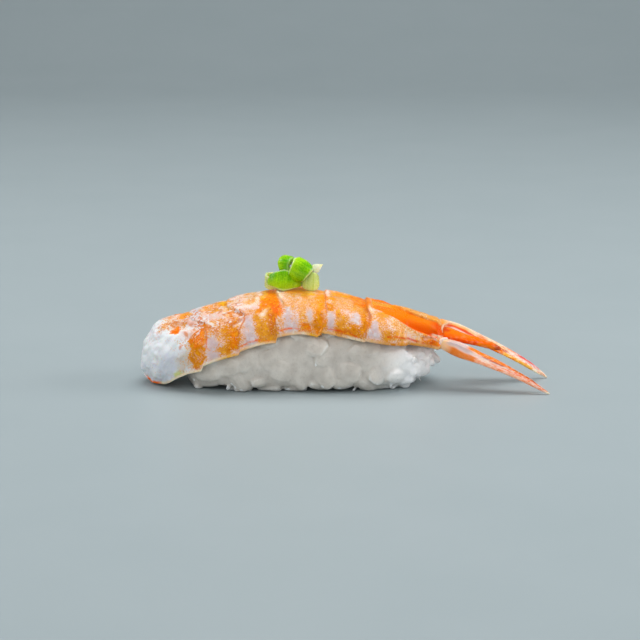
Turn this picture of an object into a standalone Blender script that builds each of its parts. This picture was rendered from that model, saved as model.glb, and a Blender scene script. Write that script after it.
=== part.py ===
"""Shrimp nigiri: a pressed block of rice, a cooked shrimp draped over it with its tail shell on,
and a few slices of spring onion on its back.

Blender 4.5, metres, +Z up. +X runs from the shrimp's head end to its tail, +Y across it.
The origin is at the middle of the object's box, on the surface that the rice stands on.
Sizes below are in millimetres, which is the scale a cook would measure, and MM turns them into metres.
"""

import math

import bmesh
import bpy
import numpy as np
from mathutils import Euler, Matrix, Vector, noise

MM = 0.001

# ---- driving sizes, millimetres -------------------------------------------------------------
CLEARANCE = 0.75  # gap between pieces that rest on each other

# The rice block, a loaf with a flat foot
RICE_MIDDLE_X = -7.5
RICE_HALF_LENGTH = 27.4
RICE_HALF_WIDTH = 12.0
RICE_WAIST = 5.0  # height where the loaf is widest
RICE_UNDERCUT = 1.3  # how far the loaf's round underside would pass below the foot
RICE_END_POWERS = (3.8, 2.8)  # superellipse power along the loaf, at the head end and at the tail end
RICE_END_TUCK = 3.4  # how far the tail end is drawn in towards the foot
RICE_SIDE_POWER = 2.8  # superellipse power across the loaf
RICE_RIDGE = ((-35.0, 11.5), (-22.0, 14.2), (-8.0, 15.3), (5.0, 13.6), (12.0, 11.4), (20.0, 9.8))
GRAIN_BUMP = 1.1  # height of the grain lumps on the open sides
GRAIN_SPACING = 4.8  # from one lump to the next
RICE_STEPS_ALONG = 44
RICE_STEPS_ROUND = 40

# The shrimp's flesh, in section a saddle over the rice, closed to a solid at both ends
HEAD_X = -44.6
HEAD_ROUNDING = 6.4  # length of the rounded head end
HEAD_CENTRE_Z = 4.7
TAIL_X = 21.2
TAIL_ROUNDING = 1.6
TAIL_CENTRE_Z = 11.6
BACK_LINE = (
    (-44.6, 13.2), (-38.5, 14.5), (-30.0, 16.8), (-22.0, 19.1), (-14.0, 20.6), (-8.0, 20.6),
    (-4.0, 19.9), (0.0, 19.2), (5.0, 18.3), (12.0, 17.1), (21.2, 14.7),
)
HEM_LINE = (
    (-44.6, 0.4), (-41.5, 0.5), (-39.0, 1.5), (-36.0, 3.7), (-30.0, 6.9), (-22.0, 10.2),
    (-14.0, 12.9), (-7.0, 13.7), (0.0, 12.7), (7.0, 11.5), (14.0, 10.4), (21.2, 9.2),
)
BELLY_LINE = ((-44.6, 0.35), (-41.5, 0.45), (-36.0, 2.6), (-30.0, 4.9), (-8.0, 9.0), (6.0, 10.6), (21.2, 8.8))
HALF_WIDTH_LINE = ((-44.6, 8.0), (-36.0, 10.6), (-30.0, 11.0), (-8.0, 10.6), (4.0, 9.8), (9.0, 8.5),
                   (14.0, 6.3), (21.2, 4.2))
TUCK_LINE = ((-44.6, 0.62), (-41.0, 0.5), (-36.0, 0.14), (-32.0, 0.0))  # how much narrower the foot is
CENTRE_LINE = ((-44.6, -0.6), (-30.0, -0.3), (-8.0, 0.0), (4.0, -0.4), (12.0, -2.0), (21.2, -4.2))
SECTION_POWER = 2.15  # superellipse power of the shrimp's back
HEM_THICKNESS = 1.5

# Where each body segment ends, from the head end, and how far its rear rim stands over the next
SEGMENT_ENDS = (-30.6, -22.7, -14.6, -4.3, 4.9)
RIM_STEP = 0.65
LAST_RIM_STEP = 0.8
HEM_LOBE = 1.1  # how much lower the hem hangs at a segment's rear corner
RIM_FALL = 0.07  # share of a segment over which its rim drops to the next
RINGS_PER_SEGMENT = (0.0, 0.3, 0.6, 0.82, 0.93)
RICE_WALL_RINGS = (-0.9, -0.45, -0.1, 0.3, 0.9, 1.7, 2.7)  # rings on either side of the rice's hidden end
OUTER_POINTS = 19
INNER_POINTS = 15

# The tail fan's shell plates, each along an arched line from root to tip. A roll of 0 lies flat and
# a roll of 90 stands on edge; it eases from its root value to its tip value. A stout root thins to the blade
TAIL_PLATES = {
    "telson": dict(root=(21.5, -4.0, 11.9), tip=(33.9, -3.1, 7.9), half_width=2.2, half_thickness=0.75,
                   root_thickness=1.15, roll=(26.0, 16.0), arch=0.1, widest=0.12),
    "near_exopod": dict(root=(21.0, -7.7, 10.2), tip=(43.8, -12.8, 0.15), half_width=1.9,
                        half_thickness=0.42, root_thickness=1.7, roll=(42.0, 24.0), arch=0.8, widest=0.22),
    "near_endopod": dict(root=(26.4, -5.6, 9.1), tip=(42.6, -9.7, 1.3), half_width=1.2,
                         half_thickness=0.36, root_thickness=0.5, roll=(30.0, 20.0), arch=0.5, widest=0.34),
    "far_exopod": dict(root=(21.2, -0.5, 13.3), tip=(44.5, 2.8, 0.15), half_width=1.9,
                       half_thickness=0.42, root_thickness=0.9, roll=(14.0, 14.0), arch=1.1, widest=0.3),
    "far_endopod": dict(root=(25.8, -1.6, 9.6), tip=(42.6, 0.1, 1.2), half_width=1.35,
                        half_thickness=0.36, root_thickness=0.6, roll=(12.0, 6.0), arch=0.5, widest=0.4),
}
PLATE_RINGS = 13
PLATE_POINTS = 12
PLATE_FOLD = 0.18  # how far a plate's edges drop below its midrib, as a share of its half width

# Slices of spring onion: C-shaped walls, as cut from the layers of the stalk. The turn is in degrees
ONION_SLICES = {
    "onion_front": dict(centre=(-12.6, 2.8, 23.45), radius=4.3, wall=1.2, height=3.4, arc=146.0,
                        turn=(5.0, 4.0, -82.0), green=True),
    "onion_left": dict(centre=(-16.0, 2.9, 22.15), radius=1.45, wall=0.7, height=2.6, arc=130.0,
                       turn=(0.0, 0.0, -174.0), green=False),
    "onion_right": dict(centre=(-7.6, 0.9, 22.45), radius=1.5, wall=0.7, height=2.7, arc=130.0,
                        turn=(-2.0, 4.0, -24.0), green=False),
    "onion_upper": dict(centre=(-9.8, -1.3, 25.3), radius=2.1, wall=1.1, height=4.6, arc=165.0,
                        turn=(-155.0, -50.0, -38.0), green=True),
    "onion_knot": dict(centre=(-13.15, 1.4, 26.2), radius=1.3, wall=0.8, height=2.4, arc=290.0,
                       turn=(76.0, -30.0, -111.0), green=True),
    "onion_sliver": dict(centre=(-5.5, 2.1, 25.0), radius=1.8, wall=0.5, height=1.7, arc=78.0,
                         turn=(18.0, -5.0, -92.0), green=False),
}
ONION_EDGE = 0.22  # rounding of each slice's edges
ONION_EDGE_STEPS = 2
ONION_STEPS = 14

# ---- colours: linear red, green, blue, then roughness ------------------------------------------
FINISHES = {
    "rice": ((0.72, 0.71, 0.66), 0.35),
    "flesh": ((0.86, 0.42, 0.20), 0.32),
    "shell": ((0.88, 0.26, 0.04), 0.25),
    "onion_green": ((0.22, 0.48, 0.02), 0.3),
    "onion_pale": ((0.66, 0.72, 0.36), 0.3),
}


# ---- profile lines ----------------------------------------------------------------------------
def line_value(line, x):
    """The value at x of a smooth line through (x, value) points: cubic pieces with three-point slopes."""
    xs, ys = np.array(line, float).T
    x = np.clip(np.asarray(x, float), xs[0], xs[-1])
    secant = np.diff(ys) / np.diff(xs)
    slope = np.concatenate([[secant[0]], (secant[1:] + secant[:-1]) / 2, [secant[-1]]])
    k = np.clip(np.searchsorted(xs, x, side="right") - 1, 0, len(xs) - 2)
    h = xs[k + 1] - xs[k]
    t = (x - xs[k]) / h
    start = (1 + 2 * t) * (1 - t) ** 2 * ys[k] + t * (1 - t) ** 2 * h * slope[k]
    end = t * t * (3 - 2 * t) * ys[k + 1] - t * t * (1 - t) * h * slope[k + 1]
    return start + end


def superellipse(fraction, power):
    """The height, from 1 to 0, of a superellipse arc at a fraction of its half width."""
    return np.clip(1 - np.abs(fraction) ** power, 0, None) ** (1 / power)


# ---- the rice -----------------------------------------------------------------------------------
def rice_end_scale(x, grow=0.0):
    """How full the loaf's section is at x: 1 in the middle, 0 at its ends."""
    share = (x - RICE_MIDDLE_X) / (RICE_HALF_LENGTH + grow)
    return superellipse(share, RICE_END_POWERS[0] if x < RICE_MIDDLE_X else RICE_END_POWERS[1])


def rice_top(x, y, grow=0.0):
    """Height of the loaf's upper surface, or minus infinity where there is no rice."""
    scale = rice_end_scale(x, grow)
    half_width = np.maximum((RICE_HALF_WIDTH + grow) * scale, 1e-6)
    rise = (line_value(RICE_RIDGE, x) + grow - RICE_WAIST) * scale
    height = RICE_WAIST + rise * superellipse(y / half_width, RICE_SIDE_POWER)
    return np.where(np.abs(y) < half_width, height, -np.inf)


def rice_side(x, z, grow=0.0):
    """Half width of the loaf at height z above its waist, or 0 where it doesn't reach."""
    scale = rice_end_scale(x, grow)
    rise = np.maximum((line_value(RICE_RIDGE, x) + grow - RICE_WAIST) * scale, 1e-6)
    above = np.clip(z - RICE_WAIST, 0, None) / rise
    return (RICE_HALF_WIDTH + grow) * scale * superellipse(above, RICE_SIDE_POWER)


def grain_lump(place):
    """A lumpy field from 0 to 1, high inside each cell and low between cells, as grains lie."""
    distances, _ = noise.voronoi(Vector(place) / GRAIN_SPACING, distance_metric="DISTANCE", exponent=2.5)
    return min(1.0, 1.6 * (distances[1] - distances[0]))


def make_rice():
    """The rice: a UV sphere with its poles at the loaf's ends, drawn out to the loaf's shape."""
    mesh = bpy.data.meshes.new("rice")
    shape = bmesh.new()
    bmesh.ops.create_uvsphere(
        shape, u_segments=RICE_STEPS_ROUND, v_segments=RICE_STEPS_ALONG, radius=1.0,
        matrix=Matrix.Rotation(math.radians(90), 4, "Y"),
    )
    for vertex in shape.verts:
        vertex.co = loaf_point(vertex.co.normalized()) * MM
    bmesh.ops.recalc_face_normals(shape, faces=shape.faces)
    shape.to_mesh(mesh)
    shape.free()
    return mesh


def loaf_point(direction):
    """The loaf's surface point for a direction from its middle, in millimetres."""
    power = RICE_END_POWERS[0] if direction.x < 0 else RICE_END_POWERS[1]
    along = math.copysign(abs(direction.x) ** (2 / power), direction.x)
    scale = math.hypot(direction.y, direction.z) ** (2 / power)
    angle = math.atan2(direction.z, direction.y)
    side = math.copysign(abs(math.cos(angle)) ** (2 / RICE_SIDE_POWER), math.cos(angle))
    lift = abs(math.sin(angle)) ** (2 / RICE_SIDE_POWER)
    x = RICE_MIDDLE_X + RICE_HALF_LENGTH * along
    if direction.z >= 0:
        reach = float(line_value(RICE_RIDGE, x)) - RICE_WAIST
    else:
        reach = -(RICE_WAIST + RICE_UNDERCUT)
    y = RICE_HALF_WIDTH * scale * side
    z = RICE_WAIST + reach * scale * lift
    x -= RICE_END_TUCK * max(0.0, along) ** 4 * max(0.0, 1 - z / RICE_WAIST)
    lump = (grain_lump((x, y, z)) - 0.5) * GRAIN_BUMP * open_to_view(x, z)
    outward = Vector((along ** 5, y / RICE_HALF_WIDTH, 0.35 * (z - RICE_WAIST) / RICE_WAIST))
    if outward.length > 1e-6:
        outward.normalize()
    return Vector((x + lump * outward.x, y + lump * outward.y, max(0.0, z + lump * outward.z)))


def open_to_view(x, z):
    """1 where the loaf is bare, falling to 0 a little below the shrimp's hem and under it."""
    below = (float(line_value(HEM_LINE, x)) - HEM_LOBE - 0.8 - z) / 1.5
    bare_end = (x - (TAIL_X - 5.0)) / 2.0
    return float(np.clip(max(below, bare_end), 0.0, 1.0))


# ---- the shrimp's flesh ---------------------------------------------------------------------------
def segment_ramp(x):
    """0 at the front of each body segment, rising to 1 just before its rear rim, then back to 0."""
    ramp = np.zeros_like(np.asarray(x, float))
    start = HEAD_X
    for end in SEGMENT_ENDS:
        share = (x - start) / (end - start)
        inside = (share >= 0) & (share < 1)
        rise = np.clip(share, 0, 1) ** 2
        fall = np.clip((1 - share) / RIM_FALL, 0, 1)
        ramp = np.where(inside, rise * fall, ramp)
        start = end
    return ramp


def end_scales(x):
    """How full the flesh's section is at x, above and below its centre, near its two ends."""
    head = np.clip((HEAD_X + HEAD_ROUNDING - x) / HEAD_ROUNDING, 0, 1)
    tail = np.clip((x - TAIL_X + TAIL_ROUNDING) / TAIL_ROUNDING, 0, 1)
    above = superellipse(head, 2.2) * superellipse(tail, 2.0)
    below = superellipse(head, 3.0) * superellipse(tail, 2.0)
    return float(above), float(below)


def flesh_ring(x):
    """The flesh's section at x as a ring of points: over the back from the near hem, then back below."""
    ramp = float(segment_ramp(x))
    step = LAST_RIM_STEP if SEGMENT_ENDS[-2] < x <= SEGMENT_ENDS[-1] else RIM_STEP
    back = float(line_value(BACK_LINE, x)) + step * ramp
    hem = float(line_value(HEM_LINE, x)) - HEM_LOBE * ramp
    hem = max(hem, 0.4)
    centre = float(line_value(CENTRE_LINE, x))
    over_rice = float(rice_side(x, hem, CLEARANCE)) + HEM_THICKNESS + abs(centre)
    half_width = max(float(line_value(HALF_WIDTH_LINE, x)), over_rice) + 0.5 * RIM_STEP * ramp
    inner_width = half_width - HEM_THICKNESS

    angle = np.linspace(-math.pi / 2, math.pi / 2, OUTER_POINTS)
    outer_y = half_width * np.sign(np.sin(angle)) * np.abs(np.sin(angle)) ** (2 / SECTION_POWER)
    outer_z = hem + (back - hem) * np.abs(np.cos(angle)) ** (2 / SECTION_POWER)

    inner_y = inner_width * np.sin(np.linspace(math.pi / 2, -math.pi / 2, INNER_POINTS))
    belly = float(line_value(BELLY_LINE, x))
    own_z = hem + (min(belly, hem) - hem) * superellipse(inner_y / inner_width, 2.0)
    inner_z = np.maximum(own_z, rice_top(x, inner_y + centre, CLEARANCE))
    inner_z = np.minimum(inner_z, back - 1.5)

    edge_y = half_width - HEM_THICKNESS / 2
    edge_z = hem - HEM_THICKNESS * 0.35
    y = np.concatenate([outer_y, [edge_y], inner_y, [-edge_y]])
    z = np.concatenate([outer_z, [edge_z], inner_z, [edge_z]])
    low = np.clip((back - z) / (back - hem), 0, 1) ** 2.5
    y = y * (1 - float(line_value(TUCK_LINE, x)) * low) + centre
    return close_towards_end(x, y, z)


def close_towards_end(x, y, z):
    """Draws a section in towards the flesh's centre near its two ends."""
    above, below = end_scales(x)
    at_head = x < 0
    middle_z = HEAD_CENTRE_Z if at_head else TAIL_CENTRE_Z
    middle_y = float(line_value(CENTRE_LINE, x))
    z = middle_z + (z - middle_z) * np.where(z > middle_z, above, below)
    y = middle_y + (y - middle_y) * above
    return np.column_stack([np.full_like(y, x), y, np.maximum(z, 0.2)])


def flesh_stations():
    """The x of every ring: close together at the round ends and at each segment's rim."""
    head = HEAD_X + HEAD_ROUNDING * (1 - np.cos(np.radians((14, 30, 46, 62, 78))))
    stations = list(head)
    start = HEAD_X + HEAD_ROUNDING
    for end in SEGMENT_ENDS:
        stations += [start + (end - start) * share for share in RINGS_PER_SEGMENT]
        start = end
    rice_end = RICE_MIDDLE_X - RICE_HALF_LENGTH
    stations = [x for x in stations if not rice_end - 1.2 < x < rice_end + 3.2]
    stations += [rice_end + step for step in RICE_WALL_RINGS]
    last = np.linspace(start, TAIL_X - TAIL_ROUNDING, 8)
    tail = TAIL_X - TAIL_ROUNDING + TAIL_ROUNDING * np.sin(np.radians((35, 62, 80)))
    return np.sort(np.concatenate([stations, last, tail]))


def flesh_rings():
    """(pole at the head end, rings, pole at the tail end)."""
    rings = np.array([flesh_ring(x) for x in flesh_stations()])
    head_pole = (HEAD_X, float(line_value(CENTRE_LINE, HEAD_X)), HEAD_CENTRE_Z)
    tail_pole = (TAIL_X, float(line_value(CENTRE_LINE, TAIL_X)), TAIL_CENTRE_Z)
    return head_pole, rings, tail_pole


# ---- meshes from sections ---------------------------------------------------------------------------
def loft(name, first_pole, rings, last_pole):
    """A closed mesh through rings of equal size, drawn to a point at each end."""
    shape = bmesh.new()
    rows = [[shape.verts.new(Vector(point) * MM) for point in ring] for ring in rings]
    first = shape.verts.new(Vector(first_pole) * MM)
    last = shape.verts.new(Vector(last_pole) * MM)
    count = len(rows[0])
    for here, there in zip(rows[:-1], rows[1:]):
        for i in range(count):
            j = (i + 1) % count
            shape.faces.new((here[i], here[j], there[j], there[i]))
    for i in range(count):
        j = (i + 1) % count
        shape.faces.new((first, rows[0][j], rows[0][i]))
        shape.faces.new((last, rows[-1][i], rows[-1][j]))
    bmesh.ops.recalc_face_normals(shape, faces=shape.faces)
    mesh = bpy.data.meshes.new(name)
    shape.to_mesh(mesh)
    shape.free()
    return mesh


# ---- the tail's shell plates ----------------------------------------------------------------------
def leaf_width(share, widest):
    """A leaf's half width along its length, 1 at its widest and drawn in to a blunt tip."""
    rising = 0.55 + 0.45 * np.sin(np.clip(share / widest, 0, 1) * math.pi / 2)
    falling = 1 - 0.86 * np.clip((share - widest) / (1 - widest), 0, 1) ** 1.15
    return np.where(share < widest, rising, falling)


def plate_mesh(name, root, tip, half_width, half_thickness, root_thickness, roll, arch, widest):
    """A tail plate: lens-shaped sections, folded down from a midrib, along its line from root to tip."""
    root = np.array(root)
    tip = np.array(tip)
    length = float(np.linalg.norm(tip - root))
    along = (tip - root) / length
    level = np.cross((0.0, 0.0, 1.0), along)
    level /= np.linalg.norm(level)
    upright = np.cross(along, level)

    angle = np.linspace(0, 2 * math.pi, PLATE_POINTS, endpoint=False)
    rings = []
    for share in np.linspace(0.03, 0.97, PLATE_RINGS):
        turn = math.radians(roll[0] + (roll[1] - roll[0]) * min(1.0, 1.4 * share))
        across = level * math.cos(turn) + upright * math.sin(turn)
        normal = upright * math.cos(turn) - level * math.sin(turn)
        width = half_width * float(leaf_width(share, widest))
        stout = (root_thickness - half_thickness) * max(0.0, 1 - share / 0.34) ** 0.8
        thickness = (half_thickness + stout) * min(1.0, 0.55 + 3.0 * share, 0.5 + 3.0 * (1 - share))
        middle = root + along * length * share + upright * arch * 4 * share * (1 - share)
        sideways = width * np.cos(angle)
        lift = thickness * np.sin(angle) - PLATE_FOLD * np.abs(sideways)
        rings.append(middle + np.outer(sideways, across) + np.outer(lift, normal))
    return loft(name, root, rings, tip)


# ---- the spring onion -------------------------------------------------------------------------------
def onion_mesh(name, radius, arc, height):
    """The open wall of one slice: a tube with the part outside its arc taken away."""
    mesh = bpy.data.meshes.new(name)
    shape = bmesh.new()
    bmesh.ops.create_cone(
        shape, cap_ends=False, segments=ONION_STEPS, radius1=radius * MM, radius2=radius * 0.93 * MM,
        depth=height * MM,
    )
    if arc < 360:
        shut = [face for face in shape.faces if outside_arc(face.calc_center_median(), arc)]
        bmesh.ops.delete(shape, geom=shut, context="FACES")
    shape.to_mesh(mesh)
    shape.free()
    return mesh


def outside_arc(point, arc):
    """True where a point round the Z axis lies further than half the arc from +X."""
    return abs(math.degrees(math.atan2(point.y, point.x))) > arc / 2


def thicken(obj, wall):
    """Gives an open surface its wall, half to each side, and rounds the wall's edges."""
    solidify = obj.modifiers.new("wall", "SOLIDIFY")
    solidify.thickness = wall * MM
    solidify.offset = 0.0
    solidify.use_even_offset = True
    bevel = obj.modifiers.new("edge", "BEVEL")
    bevel.width = ONION_EDGE * MM
    bevel.segments = ONION_EDGE_STEPS
    bevel.limit_method = "ANGLE"
    bevel.angle_limit = math.radians(50)


# ---- materials and objects ----------------------------------------------------------------------------
def make_material(name):
    """A Principled material with the finish's colour and roughness."""
    colour, roughness = FINISHES[name]
    material = bpy.data.materials.new(name)
    material.use_nodes = True
    shader = material.node_tree.nodes["Principled BSDF"]
    shader.inputs["Base Color"].default_value = (*colour, 1.0)
    shader.inputs["Roughness"].default_value = roughness
    shader.inputs["Metallic"].default_value = 0.0
    return material


def place(collection, parent, name, mesh, material):
    """An object for one piece, under the nigiri's empty."""
    mesh.materials.append(material)
    mesh.shade_smooth()
    obj = bpy.data.objects.new(name, mesh)
    collection.objects.link(obj)
    obj.parent = parent
    return obj


def main():
    for obj in list(bpy.data.objects):
        bpy.data.objects.remove(obj)
    collection = bpy.data.collections.new("shrimp_nigiri")
    bpy.context.scene.collection.children.link(collection)
    whole = bpy.data.objects.new("nigiri", None)
    collection.objects.link(whole)
    materials = {name: make_material(name) for name in FINISHES}

    place(collection, whole, "rice", make_rice(), materials["rice"])
    place(collection, whole, "shrimp_flesh", loft("shrimp_flesh", *flesh_rings()), materials["flesh"])
    for name, sizes in TAIL_PLATES.items():
        place(collection, whole, name, plate_mesh(name, **sizes), materials["shell"])
    for name, cut in ONION_SLICES.items():
        mesh = onion_mesh(name, cut["radius"], cut["arc"], cut["height"])
        finish = "onion_green" if cut["green"] else "onion_pale"
        slice_ = place(collection, whole, name, mesh, materials[finish])
        slice_.location = Vector(cut["centre"]) * MM
        slice_.rotation_euler = Euler([math.radians(a) for a in cut["turn"]])
        thicken(slice_, cut["wall"])


main()
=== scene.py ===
"""Looks of the shrimp nigiri: rice, cooked shrimp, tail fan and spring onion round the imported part.

Sizes are in millimetres, as in the part's own source, and MM turns them into metres. +X runs from the
shrimp's head end to its tail and +Z is up. The near side is the one at negative Y.
"""
import itertools
import logging
import math
from dataclasses import dataclass, field
from enum import Enum
from typing import Any

import bmesh
import bpy
import numpy as np
from mathutils import Euler, Matrix


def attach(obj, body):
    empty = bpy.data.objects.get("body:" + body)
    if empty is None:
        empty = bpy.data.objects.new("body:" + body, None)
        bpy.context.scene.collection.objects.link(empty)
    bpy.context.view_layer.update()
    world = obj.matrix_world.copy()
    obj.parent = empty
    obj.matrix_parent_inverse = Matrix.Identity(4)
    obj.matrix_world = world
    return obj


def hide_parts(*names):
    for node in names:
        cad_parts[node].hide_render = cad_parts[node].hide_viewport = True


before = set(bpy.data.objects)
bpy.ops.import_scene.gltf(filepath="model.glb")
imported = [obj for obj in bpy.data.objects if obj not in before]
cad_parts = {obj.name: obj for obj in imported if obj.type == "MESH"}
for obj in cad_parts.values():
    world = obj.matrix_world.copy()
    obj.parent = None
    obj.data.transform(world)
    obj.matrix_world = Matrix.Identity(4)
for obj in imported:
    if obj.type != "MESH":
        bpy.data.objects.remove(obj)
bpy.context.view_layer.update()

logging.basicConfig(level=logging.INFO, format="%(name)s: %(message)s")
LOG = logging.getLogger("nigiri")

MM = 0.001
Line = tuple[tuple[float, float], ...]
Tint = tuple[float, float, float]
Array = np.ndarray
Socket = bpy.types.NodeSocket

# ---- the part's own lines, as its source gives them ---------------------------------------------
CLEARANCE = 0.75

RICE_MIDDLE_X = -7.5
RICE_HALF_LENGTH = 27.4
RICE_HALF_WIDTH = 12.0
RICE_WAIST = 5.0
RICE_UNDERCUT = 1.3
RICE_HEAD_POWER = 3.8
RICE_TAIL_POWER = 2.8
RICE_END_TUCK = 3.4
RICE_SIDE_POWER = 2.8
RICE_RIDGE: Line = ((-35.0, 11.5), (-22.0, 14.2), (-8.0, 15.3), (5.0, 13.6), (12.0, 11.4), (20.0, 9.8))

HEAD_X = -44.6
HEAD_ROUNDING = 6.4
HEAD_CENTRE_Z = 4.7
TAIL_X = 21.2
TAIL_ROUNDING = 1.6
TAIL_CENTRE_Z = 11.6
BACK_LINE: Line = (
    (-44.6, 13.2), (-38.5, 14.5), (-30.0, 16.8), (-22.0, 19.1), (-14.0, 20.6), (-8.0, 20.6),
    (-4.0, 19.9), (0.0, 19.2), (5.0, 18.3), (12.0, 17.1), (21.2, 14.7),
)
HEM_LINE: Line = (
    (-44.6, 0.4), (-41.5, 0.5), (-39.0, 1.5), (-36.0, 3.7), (-30.0, 6.9), (-22.0, 10.2),
    (-14.0, 12.9), (-7.0, 13.7), (0.0, 12.7), (7.0, 11.5), (14.0, 10.4), (21.2, 9.2),
)
BELLY_LINE: Line = (
    (-44.6, 0.35), (-41.5, 0.45), (-36.0, 2.6), (-30.0, 4.9), (-8.0, 9.0), (6.0, 10.6), (21.2, 8.8),
)
HALF_WIDTH_LINE: Line = (
    (-44.6, 8.0), (-36.0, 10.6), (-30.0, 11.0), (-8.0, 10.6), (4.0, 9.8), (9.0, 8.5), (14.0, 6.3),
    (21.2, 4.2),
)
TUCK_LINE: Line = ((-44.6, 0.62), (-41.0, 0.5), (-36.0, 0.14), (-32.0, 0.0))
CENTRE_LINE: Line = ((-44.6, -0.6), (-30.0, -0.3), (-8.0, 0.0), (4.0, -0.4), (12.0, -2.0), (21.2, -4.2))
SECTION_POWER = 2.15
HEM_THICKNESS = 1.5
HEM_DIP = 0.35


# ---- numbers ------------------------------------------------------------------------------------
def line_value(line: Line, at: Array) -> Array:
    """A smooth line through points: cubic pieces whose slopes are the mean of their two neighbours'.

    Args:
        line: (place, value) points in rising order of place.
        at: the places to read.

    Returns:
        The line's value at each place, held at its end values beyond the ends.
    """
    places, values = np.array(line, float).T
    at = np.clip(np.asarray(at, float), places[0], places[-1])
    secant = np.diff(values) / np.diff(places)
    slope = np.concatenate([[secant[0]], (secant[1:] + secant[:-1]) / 2, [secant[-1]]])
    k = np.clip(np.searchsorted(places, at, side="right") - 1, 0, len(places) - 2)
    span = places[k + 1] - places[k]
    t = (at - places[k]) / span
    start = (1 + 2 * t) * (1 - t) ** 2 * values[k] + t * (1 - t) ** 2 * span * slope[k]
    end = t * t * (3 - 2 * t) * values[k + 1] - t * t * (1 - t) * span * slope[k + 1]
    return start + end


def superellipse(share: Array, power: float | Array) -> Array:
    """The height, from 1 to 0, of a superellipse arc at a share of its half width."""
    return np.clip(1 - np.abs(share) ** power, 0, None) ** (1 / power)


def ease(low: float, high: float, value: Array) -> Array:
    """0 below low, 1 above high, and 3t^2 - 2t^3 between them."""
    t = np.clip((value - low) / (high - low), 0, 1)
    return t * t * (3 - 2 * t)


def blend(first: Array, second: Array, share: Array) -> Array:
    """The first where share is 0, the second where it is 1, and a straight mix between."""
    return first + (second - first) * share


def random_at(cell: Array, seed: int) -> Array:
    """A number from -1 to 1 for each whole-numbered corner, from a mix of its three counts and a seed."""
    mixed = cell[..., 0] * 374761393 + cell[..., 1] * 668265263 + cell[..., 2] * 2246822519 + seed * 3266489917
    mixed = (mixed ^ (mixed >> 13)) & 0xFFFFFFFF
    mixed = (mixed * 1274126177) & 0xFFFFFFFF
    mixed = (mixed ^ (mixed >> 16)) & 0xFFFFFFFF
    return mixed / 0x7FFFFFFF - 1


def lumps(points: Array, spacing: float, seed: int, layers: int = 1) -> Array:
    """Smooth lumps: a random height at each corner of a cubic lattice, eased across each cell.

    Args:
        points: places in millimetres, with x, y, z last.
        spacing: from one lattice corner to the next.
        seed: which lattice.
        layers: how many lattices are summed, each half as wide and half as strong as the one before.

    Returns:
        A height from about -1 to 1 at each place.
    """
    total = np.zeros(points.shape[:-1])
    for layer in range(layers):
        scaled = points * (2 ** layer / spacing) + 0.37 * layer
        cell = np.floor(scaled).astype(np.int64)
        part = scaled - cell
        part = part * part * (3 - 2 * part)
        for corner in itertools.product((0, 1), repeat=3):
            weight = np.prod(np.where(np.array(corner) == 1, part, 1 - part), axis=-1)
            total += weight * random_at(cell + np.array(corner), seed + layer) / 2 ** layer
    return total


def tint(code: str) -> Tint:
    """The linear red, green and blue of a six-figure colour code."""
    steps = [int(code[i:i + 2], 16) / 255 for i in (0, 2, 4)]
    return tuple(s / 12.92 if s <= 0.04045 else ((s + 0.055) / 1.055) ** 2.4 for s in steps)


# ---- shader graphs ------------------------------------------------------------------------------
class Field:
    """A number or colour that changes over a surface. Python's operators on it add the nodes."""

    def __init__(self, graph: "Graph", socket: Socket) -> None:
        """Wraps one output socket."""
        self.graph = graph
        self.socket = socket

    def __add__(self, other: "Field | float") -> "Field":
        """The sum."""
        return self.graph.maths("ADD", self, other)

    __radd__ = __add__

    def __sub__(self, other: "Field | float") -> "Field":
        """The difference."""
        return self.graph.maths("SUBTRACT", self, other)

    def __rsub__(self, other: float) -> "Field":
        """The difference, the other way round."""
        return self.graph.maths("SUBTRACT", other, self)

    def __mul__(self, other: "Field | float") -> "Field":
        """The product."""
        return self.graph.maths("MULTIPLY", self, other)

    __rmul__ = __mul__

    def __truediv__(self, other: "Field | float") -> "Field":
        """The quotient."""
        return self.graph.maths("DIVIDE", self, other)

    def __pow__(self, other: float) -> "Field":
        """The power."""
        return self.graph.maths("POWER", self, other)

    def clamped(self) -> "Field":
        """The value held between 0 and 1."""
        return self.graph.maths("ADD", self, 0.0, clamp=True)

    def eased(self, low: float, high: float) -> "Field":
        """0 below low, 1 above high and smooth between."""
        node = self.graph.node(
            "ShaderNodeMapRange", {"interpolation_type": "SMOOTHSTEP"},
            {"Value": self, "From Min": low, "From Max": high},
        )
        return Field(self.graph, node.outputs["Result"])


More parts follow.
